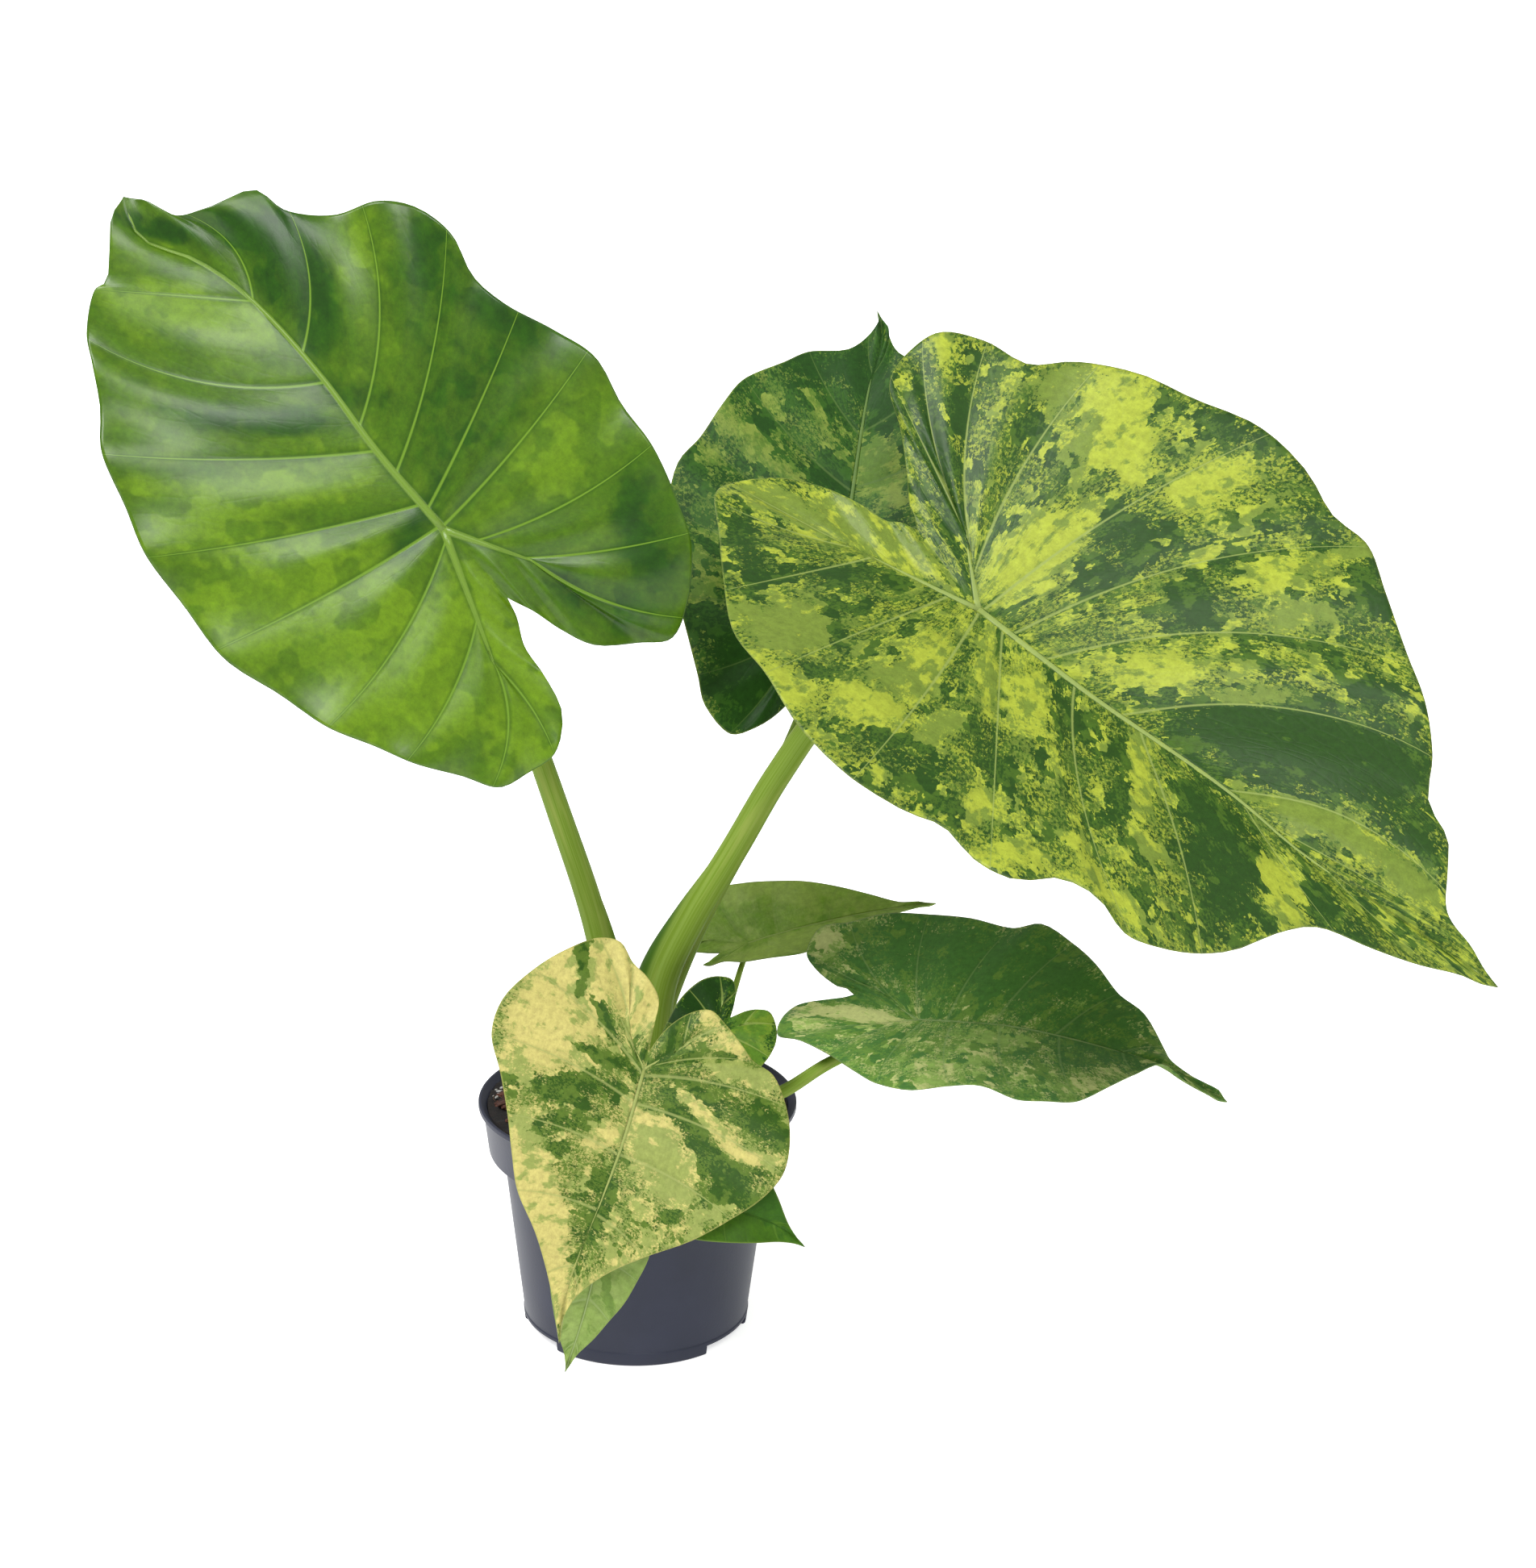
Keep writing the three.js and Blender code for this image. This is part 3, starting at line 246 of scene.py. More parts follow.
            (5, -65, 14), (-9.5, -65), (-25.5, -56, 1), (-37.5, -45.5), (-47, -33, -8), (-48, -24),
            (-41.5, -16.5, -22), (-37, -9), (-30, -2, -16), (-19, -1),
        ],
        patches=[
            (-19, -40, 30, 18, 170, 1.8, -1), (-32, -12, 17, 10, 33, 1.7, -1),
            (1, -49, 13, 9, 39, 1.2, -0.6), (-32, -37, 19, 4, 10, -2.4, 1.5),
            (-17, -23, 11, 3, 44, -1.9, 0), (0, -19, 17, 2, 82, -1.9, 0), (17, -33, 21, 5, 102, -1.2, 0),
            (12, -16, 11, 5, 96, -1, 0), (29, -26, 17, 4, 118, -0.9, 0), (15, -49, 10, 3, 44, 0.7, 1.2),
            (39, -40, 10, 5, 39, 0.6, 1), (32, -8, 11, 4, 123, 1.3, -0.6),
            (41, -26, 11, 3, 118, -0.8, 0), (64, -27, 23, 9, 37, 2, -1), (90, -10, 15, 4, 31, 1.7, -1),
            (64, -5, 19, 7, -4, -0.8, 0), (86, 6, 14, 3, 144, 0.9, -0.2), (31, 15, 19, 8, 54, 1.4, 0.9),
            (19, 1, 8, 3, 43, 1.4, -0.8), (20, 14, 9, 3, 81, 1.2, -0.8), (45, 26, 10, 4, 101, 1, 1),
            (58, 16, 16, 7, 134, 0.4, 0.2), (49, 0, 12, 3, -5, -0.9, 0), (20, 29, 29, 5, 53, -1.4, 0),
            (35, 47, 16, 8, 136, -1.4, 0), (4, 35, 29, 5, 76, -1.2, 0), (7, 55, 10, 7, 31, -1, 0),
            (14, 34, 23, 3, 60, 1.6, -0.5), (21, 55, 11, 3, 101, 1.5, -0.6),
            (-11, 38, 19, 4, 88, 1, 1.2), (-29, 20, 7, 3, 37, 1, -0.5), (-22, 31, 8, 3, 68, 1, -0.3),
            (-19, 9, 14, 5, -12, -1.2, 0), (-11, 19, 18, 3, 107, -0.9, 0), (55, 25, 5, 3, 107, -1.5, 0),
            (48, 42, 12, 4, 128, 1, 1),
        ],
    ),
    "small_back": small_leaf(
        90, 35, 0.5, joint=(45.9, 72.4, 152.1), tip=(133.7, 92.6, 166.6), faces=(-0.11, -0.34, 0.93),
        fold=0.3, midrib=[(0, 0), (40, -1), (90, 0)], right_rib=(-14, -5.5),
        left=[
            (83, 0.5), (74.5, 3.5, 68.4), (61.5, 10.5), (49.5, 18.5, 39.6), (34.5, 24), (21, 28.5, 15.3),
            (7, 31), (-7, 34.5, 1.8), (-20, 31.5), (-30.5, 24.5, -13.5), (-35, 16), (-30.5, 9, -19.8),
            (-22.5, 4),
        ],
        right=[
            (83.5, -2.5), (75.5, -4, 68.4), (63, -10), (50.5, -16, 39.6), (36, -20.5), (21.5, -22.5, 15.3),
            (7, -20), (-5, -14.5, 1.8), (-13, -10.5), (-19, -8, -8), (-22, -5.5), (-20, -3, -12),
            (-16, -1.5),
        ],
        # its light grey-green streaks, the strongest over the near half at -V, are a painted sheen
        patches=[
            (34, 16, 46, 7, -26, 0.9, 1), (-3, 4, 19, 9, -27, 0.2, 0), (22, -13, 46, 7, 3, 1.8, 1),
        ],
    ),
    "inner": small_leaf(
        55, 24, 0.9, joint=(36, -32, 151), tip=(2, -59, 117), faces=(0.15, -0.8, 0.55),
        midrib=[(0, 0), (28, 1), (55, 0)],
        patches=[
            (-4, -14, 17, 12, 51, -1.5, 0), (-7, 11, 16, 8, 43, 1.2, 0.4),
        ],
    ),
    "low_right": small_leaf(
        70, 32, 0.85, joint=(14, -82, 112), tip=(74, -85, 76), faces=(0.15, -0.9, 0.4),
        midrib=[(0, 0), (35, -1), (58, 2), (70, 0)],
        # the darker patch at +V is painted shade and the lighter one at -V painted light, as the two halves
        # face the light differently
        patches=[(40, 12, 34, 12, -20, -1.2, 0), (40, -12, 34, 11, 20, 1.2, 0)],
    ),
    "low_left": small_leaf(
        69, 21, 1, joint=(-9, -98, 88), tip=(-25.2, -95, 21), faces=(0.03, -0.99, 0.08),
        midrib=[(0, 0), (35, 1), (69, 0)],
        # the darker streaks at +V are painted shade along the leaf's fold
        patches=[(20, 6, 22, 2, 25, -1.2, 0), (30, 10, 14, 1.5, 25, -1.0, 0)],
    ),
}

BLADE_THICKNESS = 0.7
EDGE_AT = 0.995  # share out from the rib beyond which the blade thins to its edge
EDGE_THINNING = 0.6
RIB_TIP = 0.35  # half the width of a rib where it runs out
MIDRIB_END = 0.965  # share of the blade's length at which the midrib ends, short of the tip
VEIN_BOW = 0.1  # how much the side veins curve towards the tip, as a share of their length
FOLD_ROUNDING = 6  # rounds the fold along the midrib
SWAY_PER_VEIN = 1.9  # turn of the margin's slow wave from one side vein to the next, in radians
GROOVE_DEPTH = 0.35  # of the groove over a side vein
GROOVE_HALF_WIDTH = 1.5
GROOVE_END = 1.15  # the groove grows shallower up to this share out from the rib, just past the margin
VEIN_DROP = 1.3  # how far a side vein stands out below the blade, in depths of its groove
NO_VEIN = 99  # mm, stands for "no vein near"
SWELL_LEVEL = 0.4  # the part of a ruffle's swelling that lies below the blade
ACROSS_AT = 0.6  # share out from the ribs at which the way across the side veins is measured
RINGS = 22
LAST_RING = 0.985  # share of the last of these rings, just inside the margin
RIB_RINGS = ((0, 0), (0.9, 0.05), (2.6, 0.12), (5, 0.2))  # first rings: mm from the rib, greatest share
MIDRIB_POINTS = 24
BASAL_STEPS = 8
RIB_SIDES = 12
RIB_RISE = 0.45  # how far a rib stands out above the blade, as a share of half its width
RIB_DROP = 1.3  # and below
RIB_UNDERSIDE = -0.2  # sine of the turn round a rib below which its skin is that of the underside
RIB_BLEND = 1.4  # reach of the blend beside a rib, in widths of the rib
RIB_SEAT = 0.5  # how far the underside sinks at a rib, in widths of the rib
PAD_REACH = 2  # radius of the pad over the stalk, in widths of the rib
ATTRIBUTE_UNIT = 100  # mm in one unit of the places that the finishes read

# Places of the mesh's lines between two side veins, closer together beside the veins.
VEIN_STEPS = (0, 0.05, 0.13, 0.25, 0.38, 0.5, 0.62, 0.75, 0.87, 0.95)


def unit(v):
    return v / np.linalg.norm(v)


def leaf_axes(leaf):
    joint = np.array(leaf["joint"], float)
    along = np.array(leaf["tip"], float) - joint
    u = unit(along)
    n = np.array(leaf["faces"], float)
    n = unit(n - n.dot(u) * u)
    return joint, u, np.cross(n, u), n, np.linalg.norm(along)


def curve_at(points, u):
    """The value at u (an array) of a smooth curve through points [(u0, v0), ...] in rising u."""
    p = np.array(points, float)
    u = np.asarray(u, float)
    last = len(p) - 1
    k = np.clip(np.searchsorted(p[:, 0], u, side="left") - 1, 0, last - 1)
    before = p[np.maximum(np.arange(last + 1) - 1, 0)]
    after = p[np.minimum(np.arange(last + 1) + 1, last)]
    slope = (after[:, 1] - before[:, 1]) / (after[:, 0] - before[:, 0])
    span = p[k + 1, 0] - p[k, 0]
    t = np.clip((u - p[k, 0]) / span, 0, 1)
    rise = t * t * (3 - 2 * t)
    bend = span * t * (1 - t) * ((1 - t) * slope[k] - t * slope[k + 1])
    return p[k, 1] + (p[k + 1, 1] - p[k, 1]) * rise + bend


def smooth_path(points, place):
    """A point on a centripetal Catmull-Rom curve, at place 2.5 between the third and the fourth point."""
    p = [np.array(x, float) for x in points]
    p = [2 * p[0] - p[1], *p, 2 * p[-1] - p[-2]]
    k = min(int(place), len(p) - 4)
    t = place - k
    p0, p1, p2, p3 = p[k : k + 4]
    d0, d1, d2 = (math.sqrt(np.linalg.norm(b - a)) or 1 for a, b in ((p0, p1), (p1, p2), (p2, p3)))
    m1 = ((p1 - p0) / d0 - (p2 - p0) / (d0 + d1) + (p2 - p1) / d1) * d1
    m2 = ((p2 - p1) / d1 - (p3 - p1) / (d1 + d2) + (p3 - p2) / d2) * d1
    return p1 + m1 * t + (3 * (p2 - p1) - 2 * m1 - m2) * t**2 + (2 * (p1 - p2) + m1 + m2) * t**3


def basal_rib(leaf, sign):
    """One side's basal rib: its direction and length, its corner with the midrib, and where the ribs part."""
    own = np.array(leaf["left_rib"] if sign > 0 else leaf["right_rib"], float)
    other = np.array(leaf["right_rib"] if sign > 0 else leaf["left_rib"], float)
    size = np.linalg.norm(own)
    du, dv = own / size
    half = leaf["rib_width"] / 2
    between = math.acos(unit(own).dot(unit(other)))
    corner = half * (1 + du) / abs(dv)
    return size, du, dv, half, corner, half * abs(dv) + du * corner, half / math.tan(between / 2)


def root_point(leaf, length, sign, root, inner):
    """Where a side vein starts, beside the midrib or beside the basal rib."""
    size, du, dv, half, corner, corner_u, parting = basal_rib(leaf, sign)
    if root >= 0 and not inner:
        wide = half + (RIB_TIP - half) * root / length
        return root + corner_u * (1 - root / length), curve_at(leaf["midrib"], root) + sign * wide
    share = min(abs(root) / size, 1)
    reach = abs(root) + (parting if inner else corner) * (1 - share)
    across = (-1 if inner else 1) * sign * (half + (RIB_TIP - half) * share)
    return du * reach + dv * across, dv * reach - du * across


def margin(leaf, length, sign):
    """One side's margin from the tip round to the sinus, and the roots of the veins that end on it."""
    rows = [(length, 0), *(leaf["left"] if sign > 0 else leaf["right"]), leaf["sinus"]]
    roots = {i: row[2] for i, row in enumerate(rows) if len(row) > 2}
    return [row[:2] for row in rows], {0: length * MIDRIB_END, len(rows) - 1: 0, **roots}


def side_veins(leaf, length, sign):
    """One side's veins as (place on the margin, root, bow), and the place of the deepest-rooted one."""
    rim, roots = margin(leaf, length, sign)
    deepest = min(sorted(roots), key=lambda i: roots[i])
    veins = [(i, roots[i], 0 if i > deepest else VEIN_BOW) for i in sorted(roots)]
    drawn = leaf.get("left_veins" if sign > 0 else "right_veins")
    if drawn:
        veins = [veins[0], *drawn, veins[-1]]
        deepest = min(drawn, key=lambda vein: vein[1])[0]
    return rim, veins, deepest


def margin_wave(leaf, length, sign, place):
    """Height of the margin's waves: a swelling between side veins and a slow sway along them."""
    rim, roots = margin(leaf, length, sign)
    veins = sorted(roots)
    gap = max(i for i, vein in enumerate(veins[:-1]) if vein <= place)
    share = (place - veins[gap]) / (veins[gap + 1] - veins[gap])
    swell = 0.5 - 0.5 * math.cos(2 * math.pi * share)
    sway = leaf["sway"] * math.sin(SWAY_PER_VEIN * (gap + share) + sign)
    return (leaf["ruffle"] * (swell - SWELL_LEVEL) + sway) * min(1, place, len(rim) - 1 - place)


SPOKE = ("start_u", "start_v", "rim_u", "rim_v", "share", "gap", "bow", "sign", "wave", "before", "after")


def side_spokes(leaf, length, sign):
    """The vein-wise lines of one side of a blade, each a row of the values that SPOKE names."""
    rim, veins, deepest = side_veins(leaf, length, sign)
    spokes = []
    for gap, (a, b) in enumerate(zip(veins, veins[1:])):
        for share in VEIN_STEPS:
            place, root, bow = (p + share * (q - p) for p, q in zip(a, b))
            if place == 0:
                continue
            start = root_point(leaf, length, sign, root, place > deepest)
            wave = margin_wave(leaf, length, sign, place)
            flags = (0 < gap and a[0] <= deepest, gap + 2 < len(veins) and b[0] <= deepest)
            spokes.append((*start, *smooth_path(rim, place), share, gap, bow * sign, sign, wave, *flags))
    return spokes


def blade_spokes(leaf, length):
    """All lines of a blade, round from the tip over the left side and the sinus to the right side."""
    end = length * MIDRIB_END
    tip = (end, float(curve_at(leaf["midrib"], end)), length, *[0] * 8)
    sinus = (*root_point(leaf, length, 1, 0, True), *leaf["sinus"], *[0] * 7)
    right = side_spokes(leaf, length, -1)
    rows = np.array([tip, *side_spokes(leaf, length, 1), sinus, *right[::-1]], float)
    spokes = dict(zip(SPOKE, rows.T))
    middle = spoke_points(spokes, np.full(len(rows), ACROSS_AT))
    spokes["across"] = np.concatenate([[0], np.cumsum(np.linalg.norm(np.diff(middle, axis=0), axis=1))])
    return spokes


def spoke_points(s, t):
    """Points of the vein-wise lines at the share t: veins set off sideways and bend towards the tip."""
    start = np.stack([s["start_u"], s["start_v"]], 1)
    rim = np.stack([s["rim_u"], s["rim_v"]], 1)
    du, dv = (rim - start).T
    middle = (start + rim) / 2 + np.stack([-np.abs(dv) * s["bow"] * s["sign"], du * s["bow"]], 1)
    a, b, c = (1 - t) ** 2, 2 * t * (1 - t), t**2
    return a[:, None] * start + b[:, None] * middle + c[:, None] * rim


def near_polyline(p, line):
    """Distance of the points p from a polyline."""
    best = np.full(len(p), 1e9)
    for a, b in zip(line, line[1:]):
        a, b = np.array(a, float), np.array(b, float)
        t = np.clip((p - a) @ (b - a) / (b - a).dot(b - a), 0, 1)
        best = np.minimum(best, np.linalg.norm(p - a - t[:, None] * (b - a), axis=1))
    return best


PATCH_END = 1.5  # a patch fades out at this many times its half length and half width
DARK_UNREST = 0.6  # dark patches keep more specks in them than light ones of the same strength


def patch_tones(leaf, p):
    """Tone, film and calm of the leaf's patches at the points p, as rows of a point attribute."""
    tones = np.zeros((len(p), 3))
    for u, v, half_length, half_width, direction, tone, film in leaf["patches"]:
        c, s = math.cos(math.radians(direction)), math.sin(math.radians(direction))
        du, dv = p[:, 0] - u, p[:, 1] - v
        reach = np.hypot((du * c + dv * s) / half_length, (dv * c - du * s) / half_width)
        within = np.clip(PATCH_END - reach, 0, 1)
        tones[:, 0] += tone * within
        tones[:, 1] += film * within
        tones[:, 2] = np.maximum(tones[:, 2], (tone if tone > 0 else -tone - DARK_UNREST) * within)
    return tones


def blade_height(leaf, length, p, swell, t, wave):
    """Height of the blade's middle surface: fold and arch, swelling between veins, waves at the margin."""
    across = p[:, 1] - curve_at(leaf["midrib"], np.maximum(p[:, 0], 0))
    fold = leaf["fold"] * (np.hypot(across, FOLD_ROUNDING) - FOLD_ROUNDING)
    share = p[:, 0] / length
    arch = 4 * leaf["arch"] * np.where(share > 0, share * (1 - share), share)
    return fold + arch + leaf["quilt"] * 4 * t * (1 - t) * swell + t**3 * wave


def ring_shares(reach):
    """Shares at which the rings of the mesh lie on each line: close at the rib and at the margin."""
    near = [np.minimum(distance / reach, limit) for distance, limit in RIB_RINGS]
    inner = [near[-1] + (LAST_RING - near[-1]) * k / RINGS for k in range(1, RINGS + 1)]
    return [*near, *inner, np.ones(len(reach))]


def vein_gaps(s, t, before, after):
    """Distance of the points at the share t from the nearer of the two veins beside them."""
    p = spoke_points(s, t)
    spacing = np.linalg.norm(p[after] - p[before], axis=1)
    to_before = np.where(s["before"] > 0, s["share"] * spacing, NO_VEIN)
    to_after = np.where(s["after"] > 0, (1 - s["share"]) * spacing, NO_VEIN)
    return np.where(s["sign"] == 0, NO_VEIN, np.minimum(to_before, to_after))


def face_heights(leaf, t, p, height, vein_gap, rib_gap):
    """Heights of the blade's upper and lower faces at the points p, with its side veins and stalk's pad."""
    groove = GROOVE_DEPTH * np.exp(-((vein_gap / GROOVE_HALF_WIDTH) ** 2)) * np.clip(GROOVE_END - t, 0, 1)
    at_rib = np.clip(1 - rib_gap / (leaf["rib_width"] * RIB_BLEND), 0, 1)
    half = BLADE_THICKNESS / 2 * (1 - EDGE_THINNING * (t > EDGE_AT))
    on_pad = np.clip(1 - np.hypot(*p.T) / (leaf["rib_width"] * PAD_REACH), 0, 1)
    under = height - half - VEIN_DROP * groove - leaf["rib_width"] * RIB_SEAT * at_rib
    return height + half - groove * (1 - at_rib), under * (1 - on_pad) - leaf["pad_depth"] * on_pad


def blade_mesh(name, leaf):
    joint, u, v, n, length = leaf_axes(leaf)
    s = blade_spokes(leaf, length)
    count = len(s["share"])
    swell = 0.5 - 0.5 * np.cos(2 * np.pi * s["share"])
    reach = np.hypot(s["rim_u"] - s["start_u"], s["rim_v"] - s["start_v"])
    shares = ring_shares(reach)
    before, after = neighbours(s)
    ribs = skeleton_lines(leaf, length)
    upper, lower, place, vein, marks, patches = [], [], [], [], [], []
    for t in shares:
        p = spoke_points(s, t)
        height = blade_height(leaf, length, p, swell, t, s["wave"])
        vein_gap = vein_gaps(s, t, before, after)
        rib_gap = np.min([near_polyline(p, line) for line in ribs], axis=0)
        over, under = face_heights(leaf, t, p, height, vein_gap, rib_gap)
        upper.append(p_to_3d(joint, u, v, n, p, over))
        lower.append(p_to_3d(joint, u, v, n, p, under))
        place.append(np.column_stack([p / ATTRIBUTE_UNIT, np.zeros(count)]))
        along, across = t * reach / ATTRIBUTE_UNIT, s["across"] / ATTRIBUTE_UNIT
        vein.append(np.column_stack([along, across, vein_gap]))
        marks.append(np.column_stack([rib_shares(leaf, ribs, p, length), (1 - t) * reach, t]))
        patches.append(patch_tones(leaf, p))
    half_total = count * len(shares)
    faces = grid_faces(len(shares), count, half_total)
    for tri in rib_faces(s):
        faces.append(tuple(tri))
        faces.append(tuple(half_total + i for i in reversed(tri)))
    points = [*upper, *lower]
    place = [np.concatenate(place)] * 2
    place[1] = place[1] + [0, 0, 1]
    vein, marks, patches = ([np.concatenate(rows)] * 2 for rows in (vein, marks, patches))
    add_ribs(leaf, length, points, faces, place, vein, marks, patches)
    mesh = new_mesh(
        name, np.concatenate(points), faces, leaf_place=np.concatenate(place),
        leaf_vein=np.concatenate(vein), leaf_marks=np.concatenate(marks),
        leaf_patches=np.concatenate(patches),
    )
    mesh.shade_smooth()
    return mesh


def neighbours(s):
    """For each line, the index of the line on the vein before it and on the vein after it."""
    side, gap = s["sign"], s["gap"]
    first = {(side[i], gap[i]): i for i in range(len(side)) if s["share"][i] == 0 and side[i]}
    sinus = int(np.nonzero(side == 0)[0][-1])
    before = [first.get((side[i], gap[i]), 0) if side[i] else i for i in range(len(side))]
    after = [first.get((side[i], gap[i] + 1), sinus) if side[i] else i for i in range(len(side))]
    return np.array(before), np.array(after)


def skeleton_lines(leaf, length):
    """The midrib and the two basal ribs as [u, v] points."""
    u = np.linspace(0, length * MIDRIB_END, MIDRIB_POINTS)
    midrib = list(zip(u, curve_at(leaf["midrib"], u)))
    return [midrib, [(0, 0), leaf["left_rib"]], [(0, 0), leaf["right_rib"]]]


def p_to_3d(joint, u, v, n, p, height):
    return joint + p[:, :1] * u + p[:, 1:] * v + height[:, None] * n


def grid_faces(rings, count, half_total):
    faces = []
    for r in range(rings - 1):
        for k in range(count):
            a, b = r * count + k, r * count + (k + 1) % count
            faces.append((a, a + count, b + count, b))
            faces.append(tuple(half_total + i for i in (a, b, b + count, a + count)))
    rim = (rings - 1) * count
    for k in range(count):
        a, b = rim + k, rim + (k + 1) % count
        faces.append((a, half_total + a, half_total + b, b))
    return faces


def rib_faces(s):
    """Triangles that fill the narrow Y between the lines' starts, over the ribs."""
    outline = [Vector((x, y, 0)) for x, y in zip(s["start_u"], s["start_v"])]
    faces = []
    for a, b, c in tessellate_polygon([outline]):
        turn = (outline[b] - outline[a]).cross(outline[c] - outline[a]).z
        faces.append((a, b, c) if turn > 0 else (a, c, b))
    return faces


def new_mesh(name, points, faces, **attributes):
    """A mesh from points in millimetres, which carries the named rows as point attributes."""
    mesh = bpy.data.meshes.new(name)
    mesh.from_pydata((np.array(points, float) * MM).tolist(), [], faces)
    for label, rows in attributes.items():
        attribute = mesh.attributes.new(label, "FLOAT_VECTOR", "POINT")
        attribute.data.foreach_set("vector", np.array(rows).astype(np.float32).ravel())
    return mesh


def rib_half_width(leaf, reach, length):
    return leaf["rib_width"] / 2 + (RIB_TIP - leaf["rib_width"] / 2) * np.minimum(reach / length, 1)


def rib_sizes(leaf, length):
    """Lengths of the midrib and the two basal ribs."""
    return length, np.linalg.norm(leaf["left_rib"]), np.linalg.norm(leaf["right_rib"])


def rib_shares(leaf, ribs, p, length):
    """Distance of the points p from the nearest rib, as a share of that rib's half width there."""
    reach = np.hypot(*p.T)
    shares = []
    for line, size in zip(ribs, rib_sizes(leaf, length)):
        shares.append(near_polyline(p, line) / rib_half_width(leaf, reach, size))
    return np.min(shares, axis=0)


def rib_tube(leaf, length, line, size):
    """Rings of points of a rounded rib along [u, v] points, low above the blade and deeper below it."""
    joint, u, v, n, _ = leaf_axes(leaf)
    line = np.array(line, float)
    rings = []
    for i, point in enumerate(line):
        ahead = unit(line[min(i + 1, len(line) - 1)] - line[max(i - 1, 0)])
        side = np.array([-ahead[1], ahead[0]])
        half = rib_half_width(leaf, np.linalg.norm(point), size)
        turn = np.linspace(0, 2 * np.pi, RIB_SIDES, endpoint=False)
        p = point + np.outer(np.cos(turn) * half, side)
        base = blade_height(leaf, length, np.repeat([point], RIB_SIDES, 0), 0, 0, 0)
        lift = np.where(np.sin(turn) > 0, RIB_RISE, RIB_DROP) * half * np.sin(turn)
        rings.append(p_to_3d(joint, u, v, n, p, base + lift))
    return np.array(rings)


def add_ribs(leaf, length, points, faces, place, vein, marks, patches):
    """Appends the midrib and the two basal ribs to a blade's lists."""
    lines = skeleton_lines(leaf, length)
    start = sum(len(block) for block in points)
    for line, size in zip(lines, rib_sizes(leaf, length)):
        if len(line) == 2:
            line = [tuple(np.array(line[1]) * k / BASAL_STEPS) for k in range(BASAL_STEPS + 1)]
        rings = rib_tube(leaf, length, line, size)
        faces.extend(tube_faces(len(rings), RIB_SIDES, start))
        points.append(rings.reshape(-1, 3))
        total = len(rings) * RIB_SIDES
        turn = np.tile(np.linspace(0, 2 * np.pi, RIB_SIDES, endpoint=False), len(rings))
        spine = np.repeat(np.array(line, float), RIB_SIDES, 0) / ATTRIBUTE_UNIT
        far, none = np.full(total, NO_VEIN), np.zeros(total)
        place.append(np.column_stack([spine, np.sin(turn) < RIB_UNDERSIDE]))
        vein.append(np.column_stack([spine[:, 0], none, far]))
        marks.append(np.column_stack([np.abs(np.cos(turn)), far, none]))
        patches.append(np.zeros((total, 3)))
        start += total


def wall_faces(rings, sides, start=0):
    """Faces that join each ring of points to the next."""
    faces = []
    for r in range(rings - 1):
        for k in range(sides):
            a, b = start + r * sides + k, start + r * sides + (k + 1) % sides
            faces.append((a, b, b + sides, a + sides))
    return faces


def tube_faces(rings, sides, start=0):
    """Faces of a tube with both ends closed."""
    near_end = tuple(start + k for k in reversed(range(sides)))
    far_end = tuple(start + (rings - 1) * sides + k for k in range(sides))
    return [*wall_faces(rings, sides, start), near_end, far_end]


# ---------- stalks ----------

STALKS = {
    "left": dict(
        path=[(-8.5, -4, 92), (-9, -3.5, 125), (-17.6, -1, 181), (-35, 0, 237), (-57, 0, 300), (-76, 0, 346)],
        foot=6.4, top=4.3, bend=8,
        sheath=dict(towards=(1, 0.4, 0), out=2.5, start=140, widest=168, end=196),
    ),
    "right": dict(
        path=[
            (7.5, -2, 92), (7, 0, 130), (11, 0, 162), (22.5, 0, 189), (41, 0, 222.6), (58.7, 0, 255.5),
            (80, -3, 288), (108, -7, 312), (127, -11, 321),
        ],
        foot=6.8, top=5.2, bend=9,
        sheath=dict(towards=(-1, 0.35, 0), out=6, start=128, widest=160, end=210),
    ),
    "back": dict(
        path=[
            (0, 12.5, 92), (8, 16, 135), (24, 16, 180), (43, 19, 218), (60, 25, 250), (73, 33, 282),
            (80, 42, 307),
        ],
        foot=5.6, top=4, bend=7,
    ),
    "small_right": dict(
        path=[
            (24, -14, 94), (29, -15, 107), (44, -19, 111), (62.8, -21, 118.2), (82.5, -19, 131),
            (103, -12, 138.8),
        ],
        foot=3.4, top=2.4, bend=5,
    ),
    "front": dict(
        path=[(-3, -26, 94), (-2, -29, 122), (1, -43, 142), (3.6, -60, 147)], foot=3.6, top=2.6, bend=5
    ),
    "small_back": dict(
        path=[(30, 19, 94), (32.5, 28, 115), (38.5, 44, 130), (43, 61, 141.5)], foot=1.9, top=1.3, bend=4
    ),
    "inner": dict(
        path=[(29, 2, 94), (31, 0, 120), (35, -12, 142), (36, -23, 147.5)], foot=2.2, top=1.6, bend=4
    ),
    "low_right": dict(
        path=[(14, -38, 94), (14, -48, 112), (14, -63, 120), (14, -73, 116.5)], foot=2.2, top=1.7, bend=4.5
    ),
    "low_left": dict(
        path=[(-25, -36, 94), (-25, -50, 114), (-24.5, -68, 121), (-21, -86, 113), (-13, -94, 97)],
        foot=2.2, top=1.5, bend=4.5,
    ),
}

